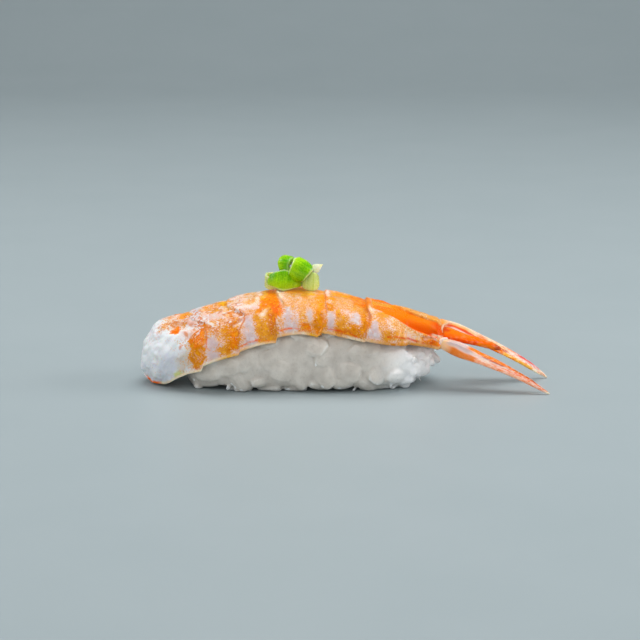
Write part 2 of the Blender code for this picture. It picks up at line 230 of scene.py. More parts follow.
class Graph:
    """A new material's shader graph, with one Principled shader."""

    def __init__(self, name: str) -> None:
        """Starts the material called name."""
        self.material = bpy.data.materials.new(name)
        self.material.use_nodes = True
        self.tree = self.material.node_tree
        self.shader = self.tree.nodes["Principled BSDF"]

    def feed(self, socket: Socket, value: Any) -> None:
        """Links a field to a socket, or sets a plain value on it."""
        if isinstance(value, Field):
            self.tree.links.new(value.socket, socket)
        elif isinstance(value, tuple) and len(value) == 3 and len(socket.default_value) == 4:
            socket.default_value = (*value, 1.0)
        else:
            socket.default_value = value

    def node(
        self, kind: str, settings: dict[str, Any] | None = None, inputs: dict[Any, Any] | None = None,
    ) -> bpy.types.Node:
        """Adds a node.

        Args:
            kind: the node's type.
            settings: its settings, set first. "stops" are a colour ramp's (place, colour) pairs.
            inputs: values or fields for its sockets, by name or number.

        Returns:
            The node.
        """
        made = self.tree.nodes.new(kind)
        settings = dict(settings or {})
        for place, colour in settings.pop("stops", ()):
            made.color_ramp.elements.new(place).color = (*colour, 1.0)
        for key, value in settings.items():
            setattr(made, key, value)
        for key, value in (inputs or {}).items():
            self.feed(made.inputs[key], value)
        return made

    def maths(self, operation: str, *values: Field | float, clamp: bool = False) -> Field:
        """A Math node over fields and numbers."""
        settings = {"operation": operation, "use_clamp": clamp}
        node = self.node("ShaderNodeMath", settings, dict(enumerate(values)))
        return Field(self, node.outputs[0])

    def mixed(self, first: Any, second: Any, share: Field | float, how: str = "MIX") -> Field:
        """A mix of two colours."""
        settings = {"data_type": "RGBA", "blend_type": how, "clamp_factor": True}
        node = self.node("ShaderNodeMix", settings, {0: share, 6: first, 7: second})
        return Field(self, node.outputs[2])

    def attribute(self, name: str, colour: bool = False) -> Field:
        """The piece's own attribute, as a number or as a colour."""
        node = self.node("ShaderNodeAttribute", {"attribute_name": name})
        return Field(self, node.outputs["Color" if colour else "Fac"])

    def place(self, stretch: tuple[float, float, float] = (1.0, 1.0, 1.0), turn: float = 0.0) -> Field:
        """Object coordinates in millimetres, turned about Y by an angle and then squeezed along each axis."""
        start = self.node("ShaderNodeTexCoord")
        inputs = {"Vector": Field(self, start.outputs["Object"]), "Scale": (1 / MM,) * 3, "Rotation": (0.0, turn, 0.0)}
        turned = Field(self, self.node("ShaderNodeMapping", None, inputs).outputs["Vector"])
        squeezed = self.node("ShaderNodeVectorMath", {"operation": "MULTIPLY"}, {0: turned, 1: stretch})
        return Field(self, squeezed.outputs["Vector"])

    def noise(self, size: float, detail: float = 2.0, place: Field | None = None, rough: float = 0.5) -> Field:
        """Noise from 0 to 1 whose lumps are about size millimetres apart."""
        inputs = {"Vector": place or self.place(), "Scale": 1 / size, "Detail": detail, "Roughness": rough}
        return Field(self, self.node("ShaderNodeTexNoise", None, inputs).outputs["Fac"])

    def cells(self, size: float, place: Field | None = None, feature: str = "F1") -> Field:
        """The distance to the nearest of scattered points, about size millimetres apart."""
        inputs = {"Vector": place or self.place(), "Scale": 1 / size}
        node = self.node("ShaderNodeTexVoronoi", {"feature": feature}, inputs)
        return Field(self, node.outputs["Distance"])

    def bump(self, height: Field, depth: float, strength: float = 1.0) -> Field:
        """A normal from a height field, whose full swing is depth millimetres."""
        inputs = {"Height": height, "Distance": depth * MM, "Strength": strength}
        return Field(self, self.node("ShaderNodeBump", None, inputs).outputs["Normal"])

    def dress(self, **sockets: Any) -> bpy.types.Material:
        """Feeds the Principled shader's sockets, given with _ for a space, and returns the material."""
        for name, value in sockets.items():
            self.feed(self.shader.inputs[name.replace("_", " ")], value)
        return self.material


# ---- meshes -------------------------------------------------------------------------------------
def piece(
    name: str, points: Array, faces: list[Array], values: dict[str, Array], material: bpy.types.Material,
) -> bpy.types.Object:
    """An object at the origin from arrays, smooth, with its faces turned outwards.

    Args:
        name: the piece's name.
        points: places in millimetres, one row each.
        faces: arrays of triangles and quads, as numbers of points.
        values: numbers or colours for each point, kept as the mesh's attributes.
        material: its finish.

    Returns:
        The object.
    """
    triangles = np.concatenate([f[:, [0, i, i + 1]] for f in faces for i in range(1, f.shape[1] - 1)])
    corners = points[triangles]
    volume = np.einsum("ij,ij->i", corners[:, 0], np.cross(corners[:, 1], corners[:, 2])).sum()
    if volume < 0:
        faces = [f[:, ::-1] for f in faces]
    mesh = bpy.data.meshes.new(name)
    mesh.from_pydata((points * MM).tolist(), [], [row for f in faces for row in f.tolist()])
    for key, value in values.items():
        if value.ndim == 1:
            mesh.attributes.new(key, "FLOAT", "POINT").data.foreach_set("value", value.astype(np.float32))
        else:
            rgba = np.concatenate([value, np.ones((len(value), 1))], axis=1).astype(np.float32)
            mesh.attributes.new(key, "FLOAT_COLOR", "POINT").data.foreach_set("color", rgba.ravel())
    mesh.materials.append(material)
    mesh.shade_smooth()
    made = bpy.data.objects.new(name, mesh)
    bpy.context.scene.collection.objects.link(made)
    return made


def ring_faces(rings: int, around: int, first: int = 0) -> Array:
    """Quads between neighbouring rings of points, each ring closed on itself."""
    here = first + np.arange(rings - 1)[:, None] * around
    i = np.arange(around)[None, :]
    j = (i + 1) % around
    return np.stack([here + i, here + j, here + around + j, here + around + i], axis=-1).reshape(-1, 4)


def closed_skin(rings: Array, first_pole: Array, last_pole: Array) -> tuple[Array, list[Array]]:
    """A closed skin over rings of points, drawn to a pole at each end.

    Args:
        rings: places, as rings by points by x, y, z.
        first_pole: the place that closes the first ring.
        last_pole: the place that closes the last ring.

    Returns:
        The points, with the two poles last, and the quads and triangles between them.
    """
    count, around = rings.shape[:2]
    points = np.concatenate([rings.reshape(-1, 3), [first_pole], [last_pole]])
    i = np.arange(around)
    j = (i + 1) % around
    head = np.stack([np.full(around, count * around), j, i], axis=1)
    start = (count - 1) * around
    tail = np.stack([np.full(around, count * around + 1), start + i, start + j], axis=1)
    return points, [ring_faces(count, around), np.concatenate([head, tail])]


def grid_normals(grid: Array) -> Array:
    """Unit normals of a grid of points: the cross product of its steps along rows and along columns."""
    normal = np.cross(np.gradient(grid, axis=0), np.gradient(grid, axis=1))
    return normal / np.maximum(np.linalg.norm(normal, axis=-1, keepdims=True), 1e-9)


# ---- colours ------------------------------------------------------------------------------------
class Shade(Enum):
    """Colours of the cooked shrimp, its shell and the onion."""

    MILK = tint("e9ebee")
    MIST = tint("d0d3db")
    STONE = tint("cdc3b6")
    LILAC = tint("d0b9b9")
    ROSE = tint("e9c8be")
    BLUSH = tint("e8b894")
    SHELL_PINK = tint("f4d8ca")
    CREAM = tint("f9e4c4")
    PEACH = tint("f8bf86")
    AMBER = tint("f99a14")
    YELLOW = tint("f6b416")
    ORANGE = tint("f07c04")
    FIRE = tint("f46a02")
    RED = tint("e24a02")
    GOLD = tint("de8404")
    OCHRE = tint("e0942c")
    TAN = tint("e49a48")
    RUST = tint("d6741a")
    BROWN = tint("b05408")
    MAROON = tint("a8301c")
    MAGENTA = tint("de5458")
    LIME = tint("c8d070")


# ---- where things lie on the shrimp ---------------------------------------------------------------
@dataclass
class Lie:
    """Where each point of the skin lies: x in millimetres, and down as a share from ridge to hem."""

    x: Array
    down: Array
    girth: Array
    far: Array
    points: Array

    def frayed(self, reach: float, seed: int) -> "Lie":
        """The same points with their places shaken by lumps, so that edges drawn on them wander."""
        flat = np.stack([self.x, self.down * self.girth, self.far * 9.0], axis=-1)
        slide = reach * lumps(flat, 1.7, seed, 3)
        drop = reach * lumps(flat, 1.7, seed + 50, 3)
        drift = 0.9 * self.far * ease(0.1, 0.5, self.down) * lumps(flat, 7.0, seed + 90)
        return Lie(self.x + slide + drift, self.down + drop / self.girth, self.girth, self.far, self.points)


@dataclass(frozen=True)
class Patch:
    """A stain between a front and a rear edge, each a line of (share down, x)."""

    front: Line
    rear: Line
    shade: Shade
    strength: float = 1.0
    soft: float = 0.35

    def mask(self, lie: Lie) -> Array:
        """1 inside and 0 outside, eased over the soft width: the product of one ease for each edge."""
        inside = ease(-self.soft, self.soft, lie.x - line_value(self.front, lie.down))
        inside = inside * ease(-self.soft, self.soft, line_value(self.rear, lie.down) - lie.x)
        top, bottom = self.front[0][0], self.front[-1][0]
        if top > 0:
            inside = inside * ease(-self.soft, self.soft, (lie.down - top) * lie.girth)
        if bottom < 1:
            inside = inside * ease(-self.soft, self.soft, (bottom - lie.down) * lie.girth)
        return inside * self.strength


@dataclass(frozen=True)
class Streak:
    """A line drawn through (x, share down) points, with a half width in millimetres."""

    points: Line
    half_width: float
    shade: Shade = Shade.RUST
    strength: float = 1.0
    soft: float = 0.5

    def mask(self, lie: Lie) -> Array:
        """1 on the line and 0 past its half width: an ease of the distance to the nearest of its points."""
        nodes = np.array(self.points, float)
        knot = np.arange(len(nodes), dtype=float)
        fine = np.linspace(0, len(nodes) - 1, 14 * (len(nodes) - 1) + 1)
        xs = line_value(tuple(zip(knot, nodes[:, 0])), fine)
        downs = line_value(tuple(zip(knot, nodes[:, 1])), fine)
        reach = self.half_width * (1 + self.soft) + 0.4
        box = (lie.x > xs.min() - reach) & (lie.x < xs.max() + reach)
        nearest = np.full(lie.x.shape, 1e3)
        across = lie.x[box][:, None] - xs
        drop = (lie.down[box][:, None] - downs) * lie.girth[box][:, None]
        nearest[box] = np.sqrt((across ** 2 + drop ** 2).min(axis=1))
        inner, outer = self.half_width * (1 - self.soft), self.half_width * (1 + self.soft)
        return self.strength * (1 - ease(inner, outer, nearest))


def spot(x: float, down: float, half_width: float, shade: Shade, strength: float = 1.0, lean: float = 0.0) -> Streak:
    """A short fat streak: a round or slanting spot at a place."""
    step = 0.01 + 0.02 * abs(lean)
    return Streak(((x - lean, down - step), (x + lean, down + step)), half_width, shade, strength)


# Rear rims of the body's segments, from the head end, as (share down, x)
RIMS: tuple[Line, ...] = (
    ((0.0, -34.0), (0.2, -33.7), (0.32, -32.6), (0.42, -30.8), (0.55, -30.0), (0.88, -30.1), (1.0, -30.6)),
    ((0.0, -25.9), (0.2, -25.6), (0.32, -24.6), (0.42, -23.2), (0.52, -21.9), (0.6, -22.0), (0.75, -22.9),
     (1.0, -22.7)),
    ((0.0, -15.2), (0.25, -14.6), (0.4, -13.9), (0.5, -13.3), (0.6, -13.6), (0.72, -15.0), (0.85, -14.9),
     (1.0, -14.7)),
    ((0.0, -4.3), (0.5, -4.2), (0.6, -4.0), (0.75, -4.3), (0.85, -4.7), (0.95, -5.3), (1.0, -5.8)),
    ((0.0, 4.7), (0.3, 4.6), (0.4, 4.7), (0.5, 5.1), (0.6, 5.35), (0.66, 5.3), (0.74, 4.7), (0.82, 4.3),
     (1.0, 4.2)),
)
RIM_STEPS = (0.22, 0.25, 0.32, 0.35, 0.6)  # how far each rim stands over the next segment
HEM_LOBES = (1.2, 0.9, 1.5, 1.4, 0.6)  # how much lower the hem hangs at each rim


def area(
    x0: float, x1: float, top: float, foot: float, shade: Shade, strength: float = 1.0, soft: float = 0.8,
    lean: float = 0.0,
) -> Patch:
    """A stain between two places along the body and two shares down, its foot moved along by lean."""
    return Patch(((top, x0), (foot, x0 + lean)), ((top, x1), (foot, x1 + lean)), shade, strength, soft)


# The ground under the pigment: milky at the head, lilac and rose where the flesh shows through
GROUND: tuple[Patch | Streak, ...] = (
    area(-25.5, -18.3, 0.0, 0.42, Shade.SHELL_PINK, 1.0, 0.8, 2.0),
    area(-13.8, -4.4, 0.0, 0.62, Shade.BLUSH, 0.8, 0.8),
    area(-9.6, -4.6, 0.6, 1.0, Shade.BLUSH, 0.8, 0.8),
    area(-3.2, 4.6, 0.0, 0.56, Shade.BLUSH, 0.7, 0.8),
    area(6.0, 21.5, 0.0, 0.36, Shade.CREAM, 1.0, 0.8),
    Patch(((0.0, -46.0), (1.0, -46.0)), ((0.0, -36.6), (0.3, -38.0), (0.55, -33.8), (1.0, -32.0)), Shade.MILK, 1.0,
          1.6),
    area(-34.2, -31.6, 0.0, 0.3, Shade.MIST, 0.9, 0.5, 0.7),
    area(-40.5, -36.2, 0.66, 0.96, Shade.MIST, 0.9, 1.1),
    area(-36.4, -33.6, 0.72, 0.98, Shade.STONE, 0.9, 0.9, 0.8),
    area(-37.2, -35.4, 0.9, 1.0, Shade.LIME, 0.8, 0.5, 0.6),
    area(-30.0, -27.6, 0.64, 1.0, Shade.LILAC, 0.9, 0.7, 0.8),
    area(-22.3, -20.2, 0.56, 1.0, Shade.LILAC, 1.0, 1.0, 1.0),
    area(-13.9, -11.9, 0.56, 1.0, Shade.LILAC, 1.0, 1.0, 1.4),
    area(-8.4, -6.9, 0.62, 0.8, Shade.LILAC, 0.8, 0.5),
    area(-3.7, -2.2, 0.6, 0.96, Shade.LILAC, 0.9, 0.5, -0.2),
    area(0.9, 3.3, 0.54, 0.78, Shade.LILAC, 0.8, 0.5),
    area(4.9, 7.1, 0.7, 0.96, Shade.LILAC, 0.9, 0.5),
    area(-19.7, -18.3, 0.0, 0.36, Shade.CREAM, 0.3, 0.6),
    Streak(((-36.2, 0.33), (-34.2, 0.39), (-32.0, 0.46)), 0.9, Shade.MILK, 0.9),
    Patch(((0.55, 9.0), (0.8, 10.0)), ((0.5, 12.0), (0.62, 15.0), (0.8, 18.0)), Shade.CREAM, 0.7, 0.8),
)

# Pigment in speckled patches
PIGMENT: tuple[Patch | Streak, ...] = (
    area(-40.4, -34.0, 0.0, 0.26, Shade.TAN, 0.5, 1.3),
    area(-38.6, -36.4, 0.0, 0.14, Shade.AMBER, 0.75, 0.9, 0.5),
    area(-36.6, -34.3, 0.0, 0.19, Shade.AMBER, 1.05, 0.8, 0.9),
    Streak(((-39.4, 0.22), (-37.5, 0.26), (-35.6, 0.31)), 1.0, Shade.OCHRE, 0.7, 1.2),
    Patch(((0.27, -37.2), (0.34, -37.8), (0.4, -37.9), (0.45, -37.0)),
          ((0.27, -36.7), (0.34, -36.4), (0.4, -36.0), (0.45, -36.2)), Shade.FIRE, 1.1, 0.4),
    area(-32.0, -30.4, 0.04, 0.32, Shade.PEACH, 0.55, 0.8, 0.6),
    area(-31.9, -31.3, 0.14, 0.32, Shade.OCHRE, 0.6, 0.3, 0.5),
    Patch(((0.42, -30.6), (0.5, -31.6), (0.56, -33.4), (0.62, -33.8), (0.82, -33.6), (0.92, -33.0), (0.97, -32.6)),
          ((0.42, -30.0), (0.97, -29.9)), Shade.GOLD, 0.95, 0.4),
    Patch(((0.42, -30.6), (0.5, -31.6), (0.56, -33.4), (0.72, -33.2)), ((0.42, -30.0), (0.72, -29.9)), Shade.ORANGE, 1.05,
          0.35),
    area(-30.6, -25.6, 0.0, 0.12, Shade.AMBER, 0.95, 1.1, -0.2),
    area(-30.2, -27.6, 0.12, 0.28, Shade.TAN, 0.75, 1.0, 0.4),
    area(-27.6, -24.2, 0.14, 0.46, Shade.PEACH, 0.55, 1.0, 1.0),
    Patch(((0.0, -28.0), (0.1, -27.2), (0.22, -26.4)), ((0.0, -26.2), (0.22, -25.6)), Shade.YELLOW, 1.0, 0.4),
    area(-29.9, -28.3, 0.18, 0.27, Shade.OCHRE, 0.8, 0.4, 0.6),
    area(-25.6, -24.8, 0.34, 0.52, Shade.ORANGE, 1.0, 0.4, 0.9),
    area(-30.0, -22.4, 0.48, 0.62, Shade.TAN, 0.55, 1.3),
    area(-30.0, -28.8, 0.5, 0.7, Shade.TAN, 0.7, 0.6),
    area(-29.9, -28.0, 0.72, 0.98, Shade.TAN, 0.08, 0.8, 0.6),
    area(-28.8, -26.4, 0.59, 0.69, Shade.GOLD, 0.72, 0.8),
    area(-28.0, -26.0, 0.68, 0.82, Shade.OCHRE, 0.55, 0.8, 0.6),
    area(-22.2, -20.4, 0.58, 1.0, Shade.TAN, 0.02, 0.9, 1.0),
    Patch(((0.6, -26.0), (0.7, -26.3), (0.8, -26.0), (0.87, -26.0), (0.97, -25.6)),
          ((0.6, -23.4), (0.8, -23.1), (0.97, -22.9)), Shade.GOLD, 0.95, 0.8),
    area(-24.8, -23.3, 0.72, 0.94, Shade.ORANGE, 1.0, 0.8, 0.4),
    area(-27.8, -25.6, 0.86, 0.97, Shade.OCHRE, 0.9, 0.6, 0.8),
    area(-22.6, -19.4, 0.0, 0.34, Shade.PEACH, 0.5, 1.0),
    area(-21.5, -20.8, 0.05, 0.36, Shade.OCHRE, 0.7, 0.6, 0.4),
    area(-20.4, -19.6, 0.0, 0.3, Shade.TAN, 0.8, 0.4, 0.3),
    Patch(((0.0, -18.3), (0.4, -18.3), (0.47, -19.3), (0.6, -19.6), (0.78, -19.6), (0.88, -19.2), (1.0, -18.2)),
          ((0.0, -15.2), (0.25, -14.7), (0.4, -14.0), (0.5, -13.4), (0.6, -13.7), (0.7, -15.0), (1.0, -14.8)),
          Shade.OCHRE, 0.85, 0.7),
    area(-18.4, -17.0, 0.58, 0.66, Shade.CREAM, 0.6, 0.5),
    Patch(((0.0, -18.0), (0.3, -18.1), (0.44, -18.6), (0.55, -19.2)),
          ((0.0, -15.3), (0.25, -14.8), (0.4, -14.0), (0.55, -13.6)), Shade.ORANGE, 1.05, 0.7),
    area(-18.1, -17.2, 0.0, 0.28, Shade.YELLOW, 0.95, 0.5),
    area(-16.4, -14.0, 0.42, 0.7, Shade.FIRE, 1.0, 0.6, 0.4),
    area(-16.4, -15.3, 0.62, 0.9, Shade.RUST, 0.85, 0.6, 0.2),
    area(-14.0, -4.3, 0.1, 0.96, Shade.TAN, 0.55, 1.1),
    area(-13.8, -12.0, 0.58, 0.98, Shade.TAN, 0.03, 0.9, 1.4),
    area(-13.6, -8.5, 0.0, 0.2, Shade.AMBER, 1.1, 1.1),
    area(-13.2, -12.2, 0.2, 0.46, Shade.OCHRE, 0.6, 0.5, 0.5),
    area(-11.4, -10.5, 0.22, 0.46, Shade.OCHRE, 0.8, 0.5),
    area(-10.0, -8.4, 0.05, 0.38, Shade.OCHRE, 1.0, 0.6, 0.3),
    area(-8.3, -6.6, 0.0, 0.28, Shade.YELLOW, 0.75, 0.7),
    area(-7.8, -7.0, 0.46, 0.58, Shade.GOLD, 0.7, 0.5),
    area(-6.1, -4.3, 0.0, 0.95, Shade.AMBER, 0.9, 0.8, -0.4),
    area(-6.7, -4.3, 0.64, 0.92, Shade.GOLD, 0.95, 1.0, -0.3),
    area(-10.2, -7.6, 0.87, 0.97, Shade.ORANGE, 0.95, 0.7, 0.4),
    area(-8.3, -7.0, 0.64, 0.8, Shade.TAN, 0.06, 0.8),
    area(-3.8, -2.3, 0.64, 0.96, Shade.TAN, 0.04, 0.6, -0.2),
    area(5.0, 7.0, 0.72, 0.96, Shade.TAN, 0.02, 0.5),
    area(-3.2, 4.6, 0.0, 0.18, Shade.AMBER, 0.95, 1.0),
    area(-3.6, 5.0, 0.14, 0.6, Shade.TAN, 0.68, 1.2),
    area(0.8, 4.8, 0.0, 0.36, Shade.ORANGE, 1.1, 1.0, 0.9),
    area(-3.9, -2.6, 0.2, 0.38, Shade.AMBER, 0.9, 0.5, -0.3),
    area(-3.9, -2.5, 0.46, 0.62, Shade.GOLD, 0.95, 0.4),
    area(2.0, 5.0, 0.34, 0.56, Shade.OCHRE, 0.8, 0.8),
    area(-2.2, 1.0, 0.62, 1.0, Shade.OCHRE, 0.82, 1.2),
    area(1.0, 3.0, 0.54, 0.78, Shade.TAN, 0.06, 0.9),
    area(3.2, 5.2, 0.5, 0.8, Shade.GOLD, 0.8, 0.7),
    area(0.9, 4.1, 0.77, 0.95, Shade.GOLD, 0.85, 0.8),
    area(-2.0, 1.2, 0.9, 1.0, Shade.RUST, 1.0, 0.5),
    area(6.2, 9.2, 0.44, 0.6, Shade.OCHRE, 0.95, 0.9, 0.5),
    area(6.0, 17.0, 0.56, 0.8, Shade.TAN, 0.66, 1.2, 1.0),
    area(8.2, 14.0, 0.79, 0.97, Shade.OCHRE, 0.95, 0.8),
    area(5.9, 10.4, 0.0, 0.1, Shade.AMBER, 1.0, 0.8),
    area(9.6, 21.5, 0.0, 0.34, Shade.TAN, 0.85, 1.0),
    area(13.0, 16.5, 0.8, 1.0, Shade.PEACH, 0.6, 0.8),
    area(16.8, 21.5, 0.74, 1.0, Shade.ORANGE, 0.85, 1.2),
)

# Drawn lines: the dark edge of a segment, small brown marks, the red hem, and a painted highlight along one segment's
# rear edge
INK_AND_HIGHLIGHTS: tuple[Patch | Streak, ...] = (
    Streak(((-38.8, 0.2), (-37.6, 0.21), (-36.0, 0.26), (-34.8, 0.3), (-34.0, 0.33), (-33.2, 0.39), (-32.2, 0.42)),
           0.36, Shade.RUST, 0.85),
    Streak(((-34.9, 0.47), (-34.5, 0.52), (-34.4, 0.57)), 0.34, Shade.RUST, 0.8),
    spot(-35.6, 0.64, 0.32, Shade.RUST, 0.7),
    Streak(((-33.8, 0.6), (-33.3, 0.56), (-32.0, 0.54), (-31.0, 0.5), (-30.3, 0.44), (-30.1, 0.4)), 0.26, Shade.RUST,
           0.75),
    Streak(((-30.05, 0.42), (-29.95, 0.6), (-29.95, 0.8)), 0.2, Shade.FIRE, 0.8),
    Streak(((-32.6, 0.9), (-32.2, 0.97)), 0.3, Shade.RUST, 0.8),
    Streak(((-27.4, 0.16), (-27.0, 0.3)), 0.2, Shade.RUST, 0.5),
    Streak(((-29.4, 0.55), (-28.2, 0.6), (-27.6, 0.66)), 0.24, Shade.RUST, 0.6),
    Streak(((-27.3, 0.54), (-27.0, 0.6)), 0.24, Shade.BROWN, 0.5),
    Streak(((-25.9, 0.57), (-25.0, 0.59)), 0.24, Shade.RUST, 0.6),
    Streak(((-26.3, 0.04), (-26.0, 0.18), (-25.5, 0.29), (-24.6, 0.35)), 0.28, Shade.OCHRE, 0.9),
    Streak(((-25.0, 0.34), (-23.9, 0.4), (-22.9, 0.45), (-22.2, 0.5), (-21.9, 0.56)), 0.5, Shade.RUST, 0.9),
    Streak(((-21.9, 0.54), (-21.9, 0.6), (-22.3, 0.66), (-23.0, 0.76)), 0.32, Shade.RUST, 0.9),
    Streak(((-24.8, 0.62), (-23.8, 0.59), (-23.1, 0.57)), 0.35, Shade.RUST, 0.8),
    Streak(((-24.0, 0.64), (-23.2, 0.63), (-22.6, 0.63)), 0.3, Shade.SHELL_PINK, 0.9),
    spot(-20.6, 0.53, 0.25, Shade.RUST, 0.8),
    Streak(((-13.6, 0.42), (-13.2, 0.48), (-12.6, 0.55)), 0.22, Shade.OCHRE, 0.8),
    # Painted highlight: a cream line along the third segment's rear edge, where that edge catches the light.
    Streak(((-14.75, 0.12), (-14.5, 0.26), (-14.0, 0.38), (-13.7, 0.44)), 0.3, Shade.CREAM, 0.9),
    Streak(((-4.3, 0.1), (-4.2, 0.5), (-4.05, 0.62), (-4.3, 0.76), (-4.8, 0.88)), 0.2, Shade.FIRE, 0.7),
    Streak(((-4.0, 0.0), (-3.9, 0.2)), 0.3, Shade.SHELL_PINK, 0.9),
    Streak(((3.4, 0.1), (3.5, 0.26)), 0.2, Shade.ORANGE, 0.7),
    Streak(((4.4, 0.3), (4.6, 0.42), (5.0, 0.52), (5.25, 0.6), (5.2, 0.67), (4.8, 0.74), (4.4, 0.82), (4.2, 0.93)),
           0.36, Shade.RUST, 0.85),
    Streak(((5.1, 0.16), (5.2, 0.3), (5.6, 0.44), (5.7, 0.56)), 0.2, Shade.CREAM, 0.7),
    Streak(((4.8, 0.0), (4.8, 0.24)), 0.7, Shade.ORANGE, 1.0),
    Streak(((6.0, 0.02), (8.0, 0.01), (10.0, 0.03), (12.0, 0.09), (14.0, 0.2), (16.0, 0.24), (20.0, 0.25)), 0.15,
           Shade.RUST, 0.7),
    Streak(((6.0, 0.35), (8.0, 0.415), (10.0, 0.495), (12.0, 0.575), (14.0, 0.65), (16.0, 0.7), (20.0, 0.76)), 0.16,
           Shade.RED, 0.75),
    Streak(((-22.4, 0.95), (-20.4, 0.94), (-18.2, 0.955), (-16.4, 0.965)), 0.2, Shade.FIRE, 0.85),
    Streak(((-14.6, 0.93), (-13.0, 0.925), (-10.8, 0.93), (-9.2, 0.96)), 0.2, Shade.FIRE, 0.9),
    Streak(((-3.8, 0.955), (-1.8, 0.94), (0.4, 0.94), (2.2, 0.96)), 0.16, Shade.RED, 0.85),
    spot(5.75, 0.54, 0.2, Shade.BROWN, 0.8),
    Streak(((9.0, 0.9), (12.0, 0.885), (14.0, 0.915), (16.0, 0.945), (17.8, 0.95), (18.6, 0.9), (19.2, 0.83)),
           0.24, Shade.RED, 0.85),
    Streak(((20.0, 0.28), (19.9, 0.4), (20.1, 0.55)), 0.3, Shade.RED, 0.9),
    Streak(((17.0, 0.84), (18.4, 0.76), (19.8, 0.8)), 0.3, Shade.SHELL_PINK, 0.8),
    Streak(((18.6, 0.7), (19.8, 0.7), (20.8, 0.74)), 0.25, Shade.CREAM, 0.8),
)

# The hem's colour along the body
HEM_TINTS: tuple[tuple[float, Shade], ...] = (
    (-41.0, Shade.FIRE), (-39.8, Shade.CREAM), (-28.0, Shade.CREAM), (-25.5, Shade.YELLOW), (-22.5, Shade.PEACH),
    (-19.0, Shade.CREAM), (-14.8, Shade.PEACH), (-13.0, Shade.PEACH), (-9.0, Shade.CREAM), (-7.5, Shade.YELLOW),
    (-2.4, Shade.PEACH), (-1.6, Shade.TAN), (0.6, Shade.CREAM), (1.6, Shade.CREAM), (9.0, Shade.TAN),
    (10.0, Shade.GOLD), (14.0, Shade.OCHRE), (21.0, Shade.PEACH),
)


